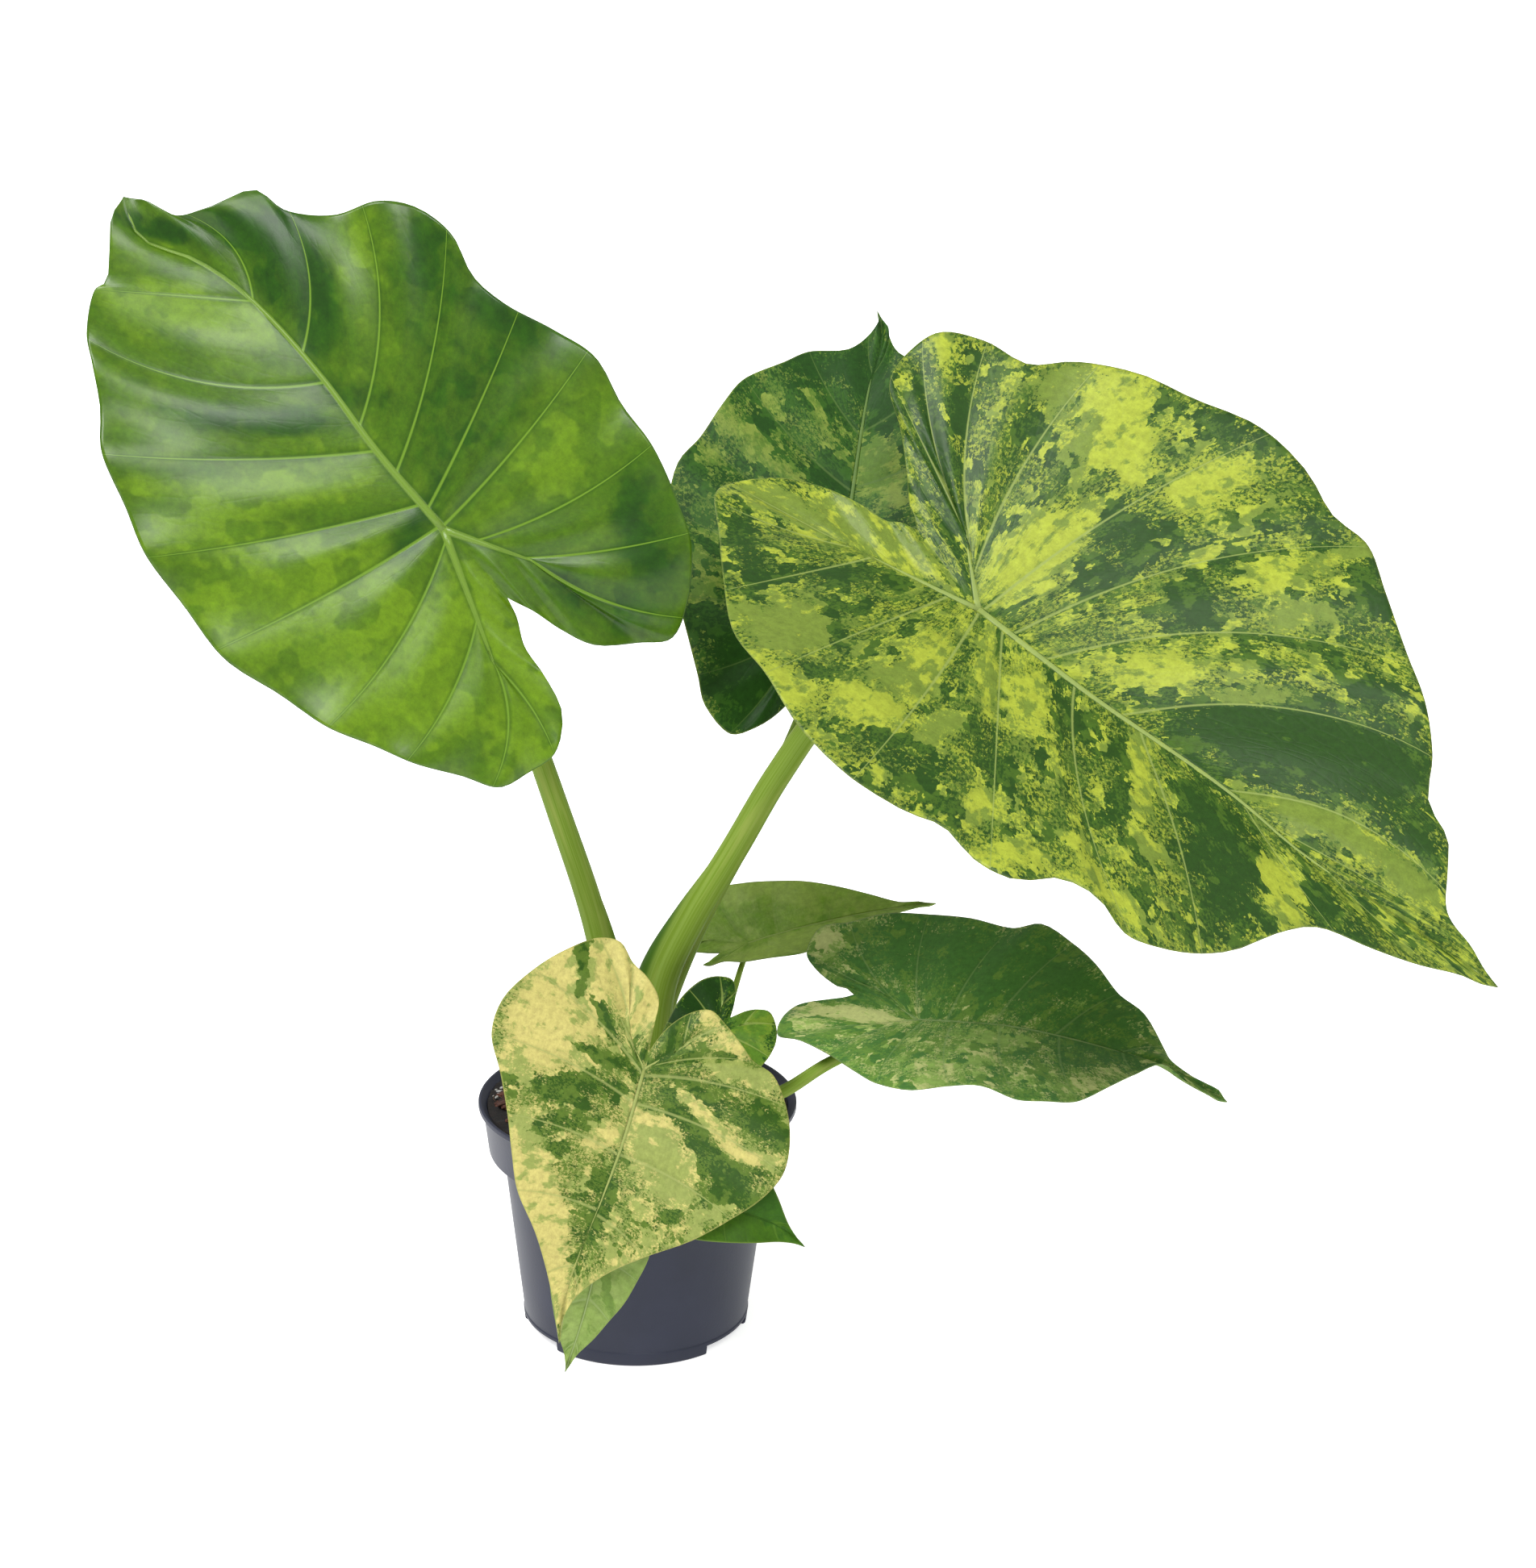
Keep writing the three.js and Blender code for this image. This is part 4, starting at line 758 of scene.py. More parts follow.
STALK_SIDES = 28
STALK_STEP = 3.5  # from one ring to the next
STALK_SAMPLES = 600  # points of the curve from which the rings' even places are taken
STALK_TAPER = 1.15  # a stalk is down to its top's radius at 1 / STALK_TAPER of its length
CLEARANCE = 0.3
SHEATH_FADE = 45  # height over which the painted shade on the sheath's side fades out
SHEATH_SHARPNESS = 6  # how narrow the sheath's edge is round the stalk
NO_SHEATH = dict(towards=(1, 0, 0), out=0, start=0, widest=1, end=2)


def stalk_line(stalk, leaf):
    """Evenly spaced points along a stalk's middle line, which meets the underside of the blade square."""
    joint, _, _, n, _ = leaf_axes(leaf)
    seat = leaf["pad_depth"] + CLEARANCE
    points = [*stalk["path"], joint - n * (seat + stalk["bend"] / 2), joint - n * seat]
    fine = np.array([smooth_path(points, k) for k in np.linspace(0, len(points) - 1, STALK_SAMPLES)])
    length = np.concatenate([[0], np.cumsum(np.linalg.norm(np.diff(fine, axis=0), axis=1))])
    even = np.linspace(0, length[-1], int(length[-1] / STALK_STEP) + 2)
    line = np.column_stack([np.interp(even, length, fine[:, k]) for k in range(3)])
    ahead = np.gradient(line, axis=0)
    ahead[-1] = n
    return line, ahead / np.linalg.norm(ahead, axis=1)[:, None], length[-1]


def sheath_at(sheath, z):
    rising = (z - sheath["start"]) / (sheath["widest"] - sheath["start"])
    falling = (sheath["end"] - z) / (sheath["end"] - sheath["widest"])
    return sheath["out"] * max(min(rising, falling), 0)


def painted_sheath_shade(sheath, z):
    """1 along the painted shade on the sheath side of a stalk, fading to 0 at the sheath's upper end."""
    if sheath["out"] == 0:
        return 0
    return min(max((sheath["end"] - z) / SHEATH_FADE, 0), 1)


def stalk_mesh(name, stalk, leaf):
    line, ahead, length = stalk_line(stalk, leaf)
    sheath = stalk.get("sheath", NO_SHEATH)
    turn = np.linspace(0, 2 * np.pi, STALK_SIDES, endpoint=False)
    ridge = np.maximum(np.cos(turn), 0) ** SHEATH_SHARPNESS
    rings, marks = [], []
    for i, (centre, along) in enumerate(zip(line, ahead)):
        share = i / (len(line) - 1)
        edge = np.array(sheath["towards"], float)
        edge = unit(edge - edge.dot(along) * along)
        side = np.cross(along, edge)
        radius = stalk["foot"] + (stalk["top"] - stalk["foot"]) * min(share * STALK_TAPER, 1)
        out = radius + sheath_at(sheath, centre[2]) * ridge
        rings.append(centre + (out * np.cos(turn))[:, None] * edge + (out * np.sin(turn))[:, None] * side)
        reached = np.full(STALK_SIDES, share * length / ATTRIBUTE_UNIT)
        marks.append(np.column_stack([reached, turn, painted_sheath_shade(sheath, centre[2]) * ridge]))
    faces = tube_faces(len(rings), STALK_SIDES)
    mesh = new_mesh(name, np.concatenate(rings), faces, stalk_marks=np.concatenate(marks))
    mesh.shade_smooth()
    return mesh


# ---------- pot, soil and crown ----------

POT = dict(
    height=105.6, lip_radius=70, lip_inner=68.5, lip_depth=2.6, collar_top=68, collar_foot=65.5,
    collar_bottom=82.8, body_top=59.3, foot=49.8, wall=1.5, floor=2.6, corner=41, corner_floor=6,
    line_height=6, notch_height=4, notch_depth=7, notch_middles=(61, 119, 241, 299), notch_half=20,
    drain_radius=3.6, drain_circle=33, drain_count=6,
)
POT_LINES = 144
DRAIN_SIDES = 24
FLOOR_BEVEL = 1  # how far the floor's raised corner slopes in
WALL_STEP = 2  # height over which the wall changes at the collar's foot
CUT_HALF = 0.01  # half the width of a foot's cut side, in degrees
SAME_PLACE = 1e-6  # points of a drilled disc closer than this are one
JOIN_DISTANCE = 2e-6  # in metres, like the next
SLIVER = 1e-6


def pot_inside(z):
    if z < POT["collar_bottom"] + POT["wall"]:
        foot, top = POT["foot"], POT["body_top"]
        return foot + (top - foot) * z / POT["collar_bottom"] - POT["wall"]
    up = (z - POT["collar_bottom"]) / (POT["height"] - POT["collar_bottom"])
    return POT["collar_foot"] + (POT["collar_top"] - POT["collar_foot"]) * up - POT["wall"]


def pot_profile(notched):
    """The pot's section as (radius, height), from the flat underside round to the flat floor inside.

    Steps of less than a millimetre round its edges.
    """
    top, lip, inner_lip = POT["height"], POT["lip_radius"], POT["lip_inner"]
    under_lip = top - POT["lip_depth"]
    foot, body, bottom, line = POT["foot"], POT["body_top"], POT["collar_bottom"], POT["line_height"]
    line_radius = foot + (body - foot) * line / bottom
    lifted = POT["notch_height"] if notched else 0
    slope = (line_radius - foot) / line
    return [
        (foot - POT["notch_depth"], 0), (foot - POT["notch_depth"], lifted),
        (foot - 0.8 + slope * lifted, lifted), (foot + slope * (lifted + 0.6), lifted + 0.8),
        (line_radius, line), (line_radius - 0.1, line + 0.25), (line_radius - 0.35, line + 0.6),
        (body - 0.3, bottom - WALL_STEP), (body, bottom), (POT["collar_foot"] - 0.7, bottom),
        (POT["collar_foot"] - 0.2, bottom + 0.25), (POT["collar_foot"], bottom + 0.8),
        (POT["collar_top"], under_lip - 0.5), (POT["collar_top"] + 0.4, under_lip),
        (lip - 0.5, under_lip + 0.1), (lip, under_lip + 0.6), (lip, top - 0.6), (lip - 0.2, top - 0.15),
        (lip - 0.6, top), (inner_lip + 0.3, top), (inner_lip, top - 0.25), (pot_inside(under_lip), under_lip),
        (pot_inside(bottom + WALL_STEP), bottom + WALL_STEP), (pot_inside(bottom), bottom),
        (pot_inside(POT["corner_floor"]), POT["corner_floor"]), (POT["corner"], POT["corner_floor"]),
        (POT["corner"] - FLOOR_BEVEL, POT["floor"]),
    ]


def ring(radius, turns, middle=(0, 0)):
    """Points (x, y) of a circle at the angles turns, which count from the front."""
    return [(middle[0] + radius * math.sin(a), middle[1] - radius * math.cos(a)) for a in turns]


def drain_holes():
    """The middle and the outline of each drain hole."""
    count = POT["drain_count"]
    middles = ring(POT["drain_circle"], [2 * math.pi * (k + 0.5) / count for k in range(count)])
    turns = [2 * math.pi * k / DRAIN_SIDES for k in range(DRAIN_SIDES)]
    return [(middle, ring(POT["drain_radius"], turns, middle)) for middle in middles]


def drilled_disc(rim, z, start):
    """Points and triangles of a flat disc with open drain holes. start is the first point's number."""
    loops = [rim, *(outline for _, outline in drain_holes())]
    corners, edges = [], []
    for loop in loops:
        first = len(corners)
        edges += [(first + k, first + (k + 1) % len(loop)) for k in range(len(loop))]
        corners += [Vector(point) for point in loop]
    flat, _, triangles, *_ = delaunay_2d_cdt(corners, edges, [], 0, SAME_PLACE)
    kept = []
    for triangle in triangles:
        middle = sum((flat[i] for i in triangle), Vector((0, 0))) / 3
        if all((middle - Vector(hole)).length > POT["drain_radius"] for hole, _ in drain_holes()):
            kept.append(tuple(start + i for i in triangle))
    return [(point.x, point.y, z) for point in flat], kept


def pot_lines():
    """The pot's lines as (angle, whether its foot is cut away there). Two lie close together at each cut."""
    lines = []
    step = 360 / POT_LINES
    for k in range(POT_LINES):
        angle = k * step
        inside = any(abs(angle - middle) < POT["notch_half"] for middle in POT["notch_middles"])
        for middle in POT["notch_middles"]:
            for side in (-1, 1):
                cut = middle + side * POT["notch_half"]
                if 0 <= cut - angle < step:
                    lines.append((cut - CUT_HALF, side > 0))
                    lines.append((cut + CUT_HALF, side < 0))
        lines.append((angle, inside))
    return sorted(lines)


def pot_mesh():
    """A turned pot on feet, with a drilled floor."""
    lines = pot_lines()
    points, faces = [], []
    size = len(pot_profile(False))
    for angle, notched in lines:
        a = math.radians(angle)
        points += [(r * math.sin(a), -r * math.cos(a), z) for r, z in pot_profile(notched)]
    for k in range(len(lines)):
        a, b = k * size, (k + 1) % len(lines) * size
        faces += [(a + i, b + i, b + i + 1, a + i + 1) for i in range(size - 1)]
    turns = [math.radians(angle) for angle, _ in lines]
    discs = ((POT["foot"] - POT["notch_depth"], 0), (POT["corner"] - FLOOR_BEVEL, POT["floor"]))
    for radius, z in discs:
        own, own_faces = drilled_disc(ring(radius, turns), z, len(points))
        points += own
        faces += own_faces
    for _, outline in drain_holes():
        faces += wall_faces(2, DRAIN_SIDES, len(points))
        points += [(x, y, z) for z in (0, POT["floor"]) for x, y in outline]
    return solid_mesh("pot", points, faces, smooth_angle=32)


def solid_mesh(name, points, faces, smooth_angle):
    """A closed mesh from millimetre points, its doubled points joined and its sharper corners kept sharp."""
    mesh = new_mesh(name, points, faces)
    work = bmesh.new()
    work.from_mesh(mesh)
    bmesh.ops.remove_doubles(work, verts=work.verts, dist=JOIN_DISTANCE)
    bmesh.ops.dissolve_degenerate(work, dist=SLIVER, edges=work.edges)
    bmesh.ops.recalc_face_normals(work, faces=work.faces)
    for edge in work.edges:
        edge.smooth = edge.calc_face_angle(0) < math.radians(smooth_angle)
    for face in work.faces:
        face.smooth = True
    work.to_mesh(mesh)
    work.free()
    return mesh


SOIL_EDGE = 103.4
SOIL_MOUND = 3.5
SOIL_RELIEF = 0.9
SOIL_LUMPS = 1.6
SOIL_SHOULDER = 2.4  # how far the soil fills the wall's step over the collar's foot
SOIL_LINES = 150
SOIL_RINGS = 46
AXIS_RADIUS = 0.01  # of the ring that closes a turned shape at its axis


def soil_height(x, y):
    """Height of the soil: a mound, slow waves that die out at the wall, and lumps of two sizes."""
    out = math.hypot(x, y) / pot_inside(SOIL_EDGE)
    relief = math.sin(0.17 * x + 1.3) * math.cos(0.15 * y) + 0.6 * math.sin(0.3 * y - 0.2 * x)
    height = SOIL_EDGE + SOIL_MOUND * (1 - out * out) + SOIL_RELIEF * relief * (1 - out**6)
    coarse, fine = (noise.noise(Vector((x * size, y * size, z))) for size, z in ((0.16, 3), (0.45, 9)))
    return height + SOIL_LUMPS * (coarse + 0.6 * fine)


def turned(profile, lines):
    """Points of a shape turned about the axis from (radius, height)."""
    turns = [2 * math.pi * k / lines for k in range(lines)]
    return [(radius * math.cos(a), radius * math.sin(a), z) for radius, z in profile for a in turns]


def soil_mesh():
    floor, corner_floor = POT["floor"] + CLEARANCE, POT["corner_floor"] + CLEARANCE
    shoulder = POT["collar_bottom"] + SOIL_SHOULDER
    under = [
        (AXIS_RADIUS, floor), (POT["corner"] - FLOOR_BEVEL - CLEARANCE, floor),
        (POT["corner"] - CLEARANCE, corner_floor),
        (pot_inside(POT["corner_floor"]) - CLEARANCE, corner_floor),
        (pot_inside(POT["collar_bottom"]) - CLEARANCE, POT["collar_bottom"]),
        (pot_inside(shoulder) - CLEARANCE, shoulder),
    ]
    rim = pot_inside(SOIL_EDGE) - CLEARANCE
    over = [(rim * (1 - k / SOIL_RINGS) + AXIS_RADIUS, 0) for k in range(SOIL_RINGS + 1)]
    points = turned(under, SOIL_LINES)
    points += [(x, y, soil_height(x, y)) for x, y, _ in turned(over, SOIL_LINES)]
    faces = wall_faces(len(under) + len(over), SOIL_LINES)
    return solid_mesh("soil", points, faces, smooth_angle=180)


CROWN_FOOT = 84
CROWN_TOP = 113
CROWN_RADIUS = 20
CROWN_LINES = 96
SCARS = dict(start=85, reach=22, steps=18, depth=0.5, taper=0.02)  # rings left by old leaves
CROWN_ROUGHNESS = 0.03


def stalk_feet():
    """Points (x, y, radius) where stalks stand in the soil or run just over it, the crown first."""
    feet = [(0, 0, CROWN_RADIUS)]
    for name, stalk in STALKS.items():
        for x, y, z in stalk_line(stalk, LEAVES[name])[0]:
            if z < CROWN_TOP:
                feet.append((x, y, stalk["foot"]))
    return feet


LUMP_LONG = (0.8, 1.5)
LUMP_WIDE = (0.6, 1)
LUMP_FLAT = (0.7, 1.2)
LUMP_ROUGHNESS = 0.35
LUMP_TURN = (0, 6.28)
LUMP_TILT = 0.35
LITTER_REACH = 62  # radius within which lumps are strewn
LITTER_LIMIT = 65  # radius within which a lump's far side stays
LITTER_SPREAD = (3, 9)  # of lumps strewn near a point


def lump(run, size, flat):
    """A rough stone-like lump about the origin: an icosphere of 42 points pushed in and out and flattened."""
    work = bmesh.new()
    bmesh.ops.create_icosphere(work, subdivisions=2, radius=size)
    seed = run.uniform(0, 100)
    stretch = (run.uniform(*LUMP_LONG), run.uniform(*LUMP_WIDE), flat)
    for vert in work.verts:
        rough = 1 + LUMP_ROUGHNESS * noise.noise(vert.co * 0.9 + Vector((seed, 0, 0)))
        vert.co = Vector(c * s for c, s in zip(vert.co * rough, stretch))
    turn = Matrix.Rotation(run.uniform(*LUMP_TURN), 4, "Z")
    turn = turn @ Matrix.Rotation(run.gauss(0, LUMP_TILT), 4, "X")
    points = [turn @ vert.co for vert in work.verts]
    faces = [tuple(v.index for v in face.verts) for face in work.faces]
    work.free()
    return points, faces


def scattered(name, seed, count, sizes, flat, sunk, near=None):
    """Many lumps on the soil, clear of the stalks, all over it or near a point. Each has a random shade."""
    run = random.Random(seed)
    feet = stalk_feet()
    points, faces, shade = [], [], []
    while count:
        a, r = run.uniform(0, 2 * math.pi), LITTER_REACH * math.sqrt(run.random())
        x, y = r * math.cos(a), r * math.sin(a)
        if near:
            x, y = (run.gauss(middle, spread) for middle, spread in zip(near, LITTER_SPREAD))
            r = math.hypot(x, y)
        size = run.uniform(*sizes)
        if any(math.hypot(x - fx, y - fy) < radius + size for fx, fy, radius in feet):
            continue
        if r + LUMP_LONG[1] * size > LITTER_LIMIT:
            continue
        count -= 1
        own, own_faces = lump(run, size, flat * run.uniform(*LUMP_FLAT))
        z = soil_height(x, y) + size * flat * (1 - 2 * sunk)
        faces += [tuple(len(points) + i for i in face) for face in own_faces]
        points += [(p.x + x, p.y + y, p.z + z) for p in own]
        shade += [(run.random(), run.random(), run.random())] * len(own)
    return new_mesh(name, points, faces, shade=shade)


FIBRE_RINGS = 8
FIBRE_SIDES = 5
FIBRE_STEP = 1.9
FIBRE_RADIUS = (0.12, 0.35)
FIBRE_START = (22, 56)  # distance from the pot's axis
FIBRE_LIMIT = 61  # beyond it a fibre turns back
FIBRE_TURN_BACK = 1.2
FIBRE_BEND = 0.5
FIBRE_LIFT = 0.5


def fibre_mesh(name, seed, count):
    """Thin bent root and coir fibres lying on the soil."""
    run = random.Random(seed)
    points, faces, shade = [], [], []
    for _ in range(count):
        a, r = run.uniform(0, 2 * math.pi), run.uniform(*FIBRE_START)
        x, y, heading = r * math.cos(a), r * math.sin(a), run.uniform(0, 2 * math.pi)
        bend, radius = run.uniform(-FIBRE_BEND, FIBRE_BEND), run.uniform(*FIBRE_RADIUS)
        rings = []
        for step in range(FIBRE_RINGS):
            z = soil_height(x, y) + radius + FIBRE_LIFT * math.sin(step + a)
            side = (-math.sin(heading), math.cos(heading))
            for k in range(FIBRE_SIDES):
                turn = 2 * math.pi * k / FIBRE_SIDES
                across = radius * math.cos(turn)
                rings.append((x + side[0] * across, y + side[1] * across, z + radius * math.sin(turn)))
            heading += bend * run.uniform(0.2, 1)
            x, y = x + FIBRE_STEP * math.cos(heading), y + FIBRE_STEP * math.sin(heading)
            if math.hypot(x, y) > FIBRE_LIMIT:
                heading += FIBRE_TURN_BACK
        faces += tube_faces(FIBRE_RINGS, FIBRE_SIDES, len(points))
        points += rings
        shade += [(run.random(), run.random(), 0)] * len(rings)
    mesh = new_mesh(name, points, faces, shade=shade)
    mesh.shade_smooth()
    return mesh


def crown_mesh():
    """The short stem that the stalks grow from, ringed with old leaf scars."""
    profile = [(AXIS_RADIUS, CROWN_FOOT), (CROWN_RADIUS, CROWN_FOOT)]
    for k in range(SCARS["steps"] + 1):
        z = SCARS["start"] + SCARS["reach"] * k / SCARS["steps"]
        profile.append((CROWN_RADIUS - SCARS["depth"] * (k % 2) - SCARS["taper"] * k, z))
    profile += [(17, 110), (12.5, 112.2), (9, CROWN_TOP), (AXIS_RADIUS, CROWN_TOP)]
    points = []
    for r, z in profile:
        for k in range(CROWN_LINES):
            a = 2 * math.pi * k / CROWN_LINES
            unevenness = noise.noise(Vector((3 * math.cos(a), 3 * math.sin(a), z * 0.2)))
            rough = 1 + CROWN_ROUGHNESS * unevenness
            points.append((r * rough * math.cos(a), r * rough * math.sin(a), z))
    return solid_mesh("crown", points, wall_faces(len(profile), CROWN_LINES), smooth_angle=60)


# ---------- node helpers ----------

SHOWN_TO_PAINT = 0.45  # the studio is bright, so paint is this much darker than it looks


def colour(code):
    """The paint for a display colour such as "3f7030", as linear RGBA by the sRGB curve."""
    parts = [int(code[i : i + 2], 16) / 255 for i in (0, 2, 4)]
    linear = [c / 12.92 if c <= 0.04045 else ((c + 0.055) / 1.055) ** 2.4 for c in parts]
    return (*(c * SHOWN_TO_PAINT for c in linear), 1)


def feed(tree, socket, value):
    if isinstance(value, bpy.types.NodeSocket):
        tree.links.new(value, socket)
    elif value is not None:
        socket.default_value = value


def node(tree, kind, *values, **settings):
    """Adds a shader node, feeds its sockets in order and returns its first output."""
    made = tree.nodes.new("ShaderNode" + kind)
    for key, value in settings.items():
        setattr(made, key, value)
    for socket, value in zip(made.inputs, values):
        feed(tree, socket, value)
    return made.outputs[0]


def calc(tree, operation, *values):
    return node(tree, "Math", *values, operation=operation)


def mask(tree, value, low, high):
    """0 below low, 1 above high, smooth between. Falls instead where low is above high."""
    return node(tree, "MapRange", value, low, high, 0.0, 1.0, interpolation_type="SMOOTHSTEP")


def mixed(tree, share, a, b):
    made = tree.nodes.new("ShaderNodeMix")
    made.data_type = "RGBA"
    for socket, value in zip((made.inputs[0], made.inputs[6], made.inputs[7]), (share, a, b)):
        feed(tree, socket, value)
    return made.outputs[2]


def read(tree, name):
    """The three parts of an attribute that the mesh carries."""
    made = tree.nodes.new("ShaderNodeAttribute")
    made.attribute_name = name
    return split(tree, made.outputs["Vector"])


def split(tree, value):
    made = tree.nodes.new("ShaderNodeSeparateXYZ")
    feed(tree, made.inputs[0], value)
    return made.outputs


def vector(tree, *parts):
    return node(tree, "CombineXYZ", *parts)


def grain(tree, place, scale, detail=4.0, roughness=0.5):
    """Noise from about 0.25 to 0.75."""
    return node(tree, "TexNoise", place, None, scale, detail, roughness)


def new_group(name, inputs, outputs):
    group = bpy.data.node_groups.new(name, "ShaderNodeTree")
    for label, kind, value in inputs:
        socket = group.interface.new_socket(label, in_out="INPUT", socket_type="NodeSocket" + kind)
        socket.default_value = value
    for label, kind in outputs:
        group.interface.new_socket(label, in_out="OUTPUT", socket_type="NodeSocket" + kind)
    return group, group.nodes.new("NodeGroupInput").outputs, group.nodes.new("NodeGroupOutput").inputs


def use(tree, group, **values):
    """Adds a node group and returns its outputs. Input names are given with _ for a space."""
    made = tree.nodes.new("ShaderNodeGroup")
    made.node_tree = group
    for key, value in values.items():
        feed(tree, made.inputs[key.replace("_", " ").capitalize()], value)
    return made.outputs


def new_material(name):
    material = bpy.data.materials.new(name)
    material.use_nodes = True
    return material, material.node_tree, material.node_tree.nodes["Principled BSDF"]


def bump(tree, shader, height, distance):
    """Fine relief on a shader, distance metres deep."""
    made = tree.nodes.new("ShaderNodeBump")
    made.inputs["Distance"].default_value = distance
    feed(tree, made.inputs["Height"], height)
    feed(tree, shader.inputs["Normal"], made.outputs[0])


# ---------- leaf finishes ----------

# The numbers that a leaf's finish may set, with their usual values: for the marbling, for the ribs and veins,
# and for the layers laid over one another.
MARBLING_NUMBERS = {
    "Bias": 0.0, "Seed": 0.0, "Softness": 0.01, "Speckle": 1.0, "Streak": 1.0, "Fineness": 1.0,
    "Patch strength": 0.2, "Film bias": 0.0, "Deep bias": 0.0,
}
LINE_NUMBERS = {"Vein width": 0.8, "Rib reach": 0.9}
LAYER_NUMBERS = {"Vein show": 0.6, "Halo show": 0.15, "Edge show": 0.5, "Gloss": 0.5}

CALM = (1.5, 0.3)  # strength of a patch at which it has no specks, and at which it has all of them
BUSY = (-0.03, 0.04)  # noise at which a zone of specks starts, and at which it is full
BUSY_BLUR = 0.05  # specks have softer edges than the larger areas
BUSY_LOSS = -0.5  # the larger areas show that much less in a zone of specks
BUSY_LIGHT = -0.28  # and light tissue is that much greener there
QUIET_SPECKS = 0.12  # strength of the specks outside those zones
LOBES = 0.5
FILM_PATCH = 0.15  # how strongly patches add film
FILM_STEPS = (-0.02, 0.03)  # film comes in two steps of half strength
DEEP_PATCH = -0.1  # how strongly patches take dark green away
DEEP_BLUR = 0.02

RIB_CORE = 0.6  # a rib's colour is full within this share of its reach
VEIN_TAPER = 1.25  # a vein's width falls evenly to a fifth at the margin
VEIN_CORE = 0.25  # a vein's colour is full within this share of its width
PAINTED_SHADE_WIDTH = 3.5  # reach of the painted shade beside a vein, in widths of the vein
RIB_PAINTED_SHADE = (3.2, 1.3)  # where the painted shade beside a rib starts and where it is full, in half widths of the rib
MARGIN_LINE = (0.8, 0.2)  # mm from the margin at which its line starts, and at which it is full
CELLS = (9.0, 16.0)  # cells of the vein net along and across the side veins, in one unit of place
NET_WIDTH = 0.14

MOTTLE = 1.3
UNDER_SHOW = 0.6
RIB_SHOW = 0.9
UNDER_ROUGHNESS = 0.25


def numbered(*groups):
    """Number inputs of a node group, from dictionaries of their names and usual values."""
    return [(label, "Float", value) for numbers in groups for label, value in numbers.items()]


def measured(*labels):
    """Number outputs of a node group."""
    return [(label, "Float") for label in labels]


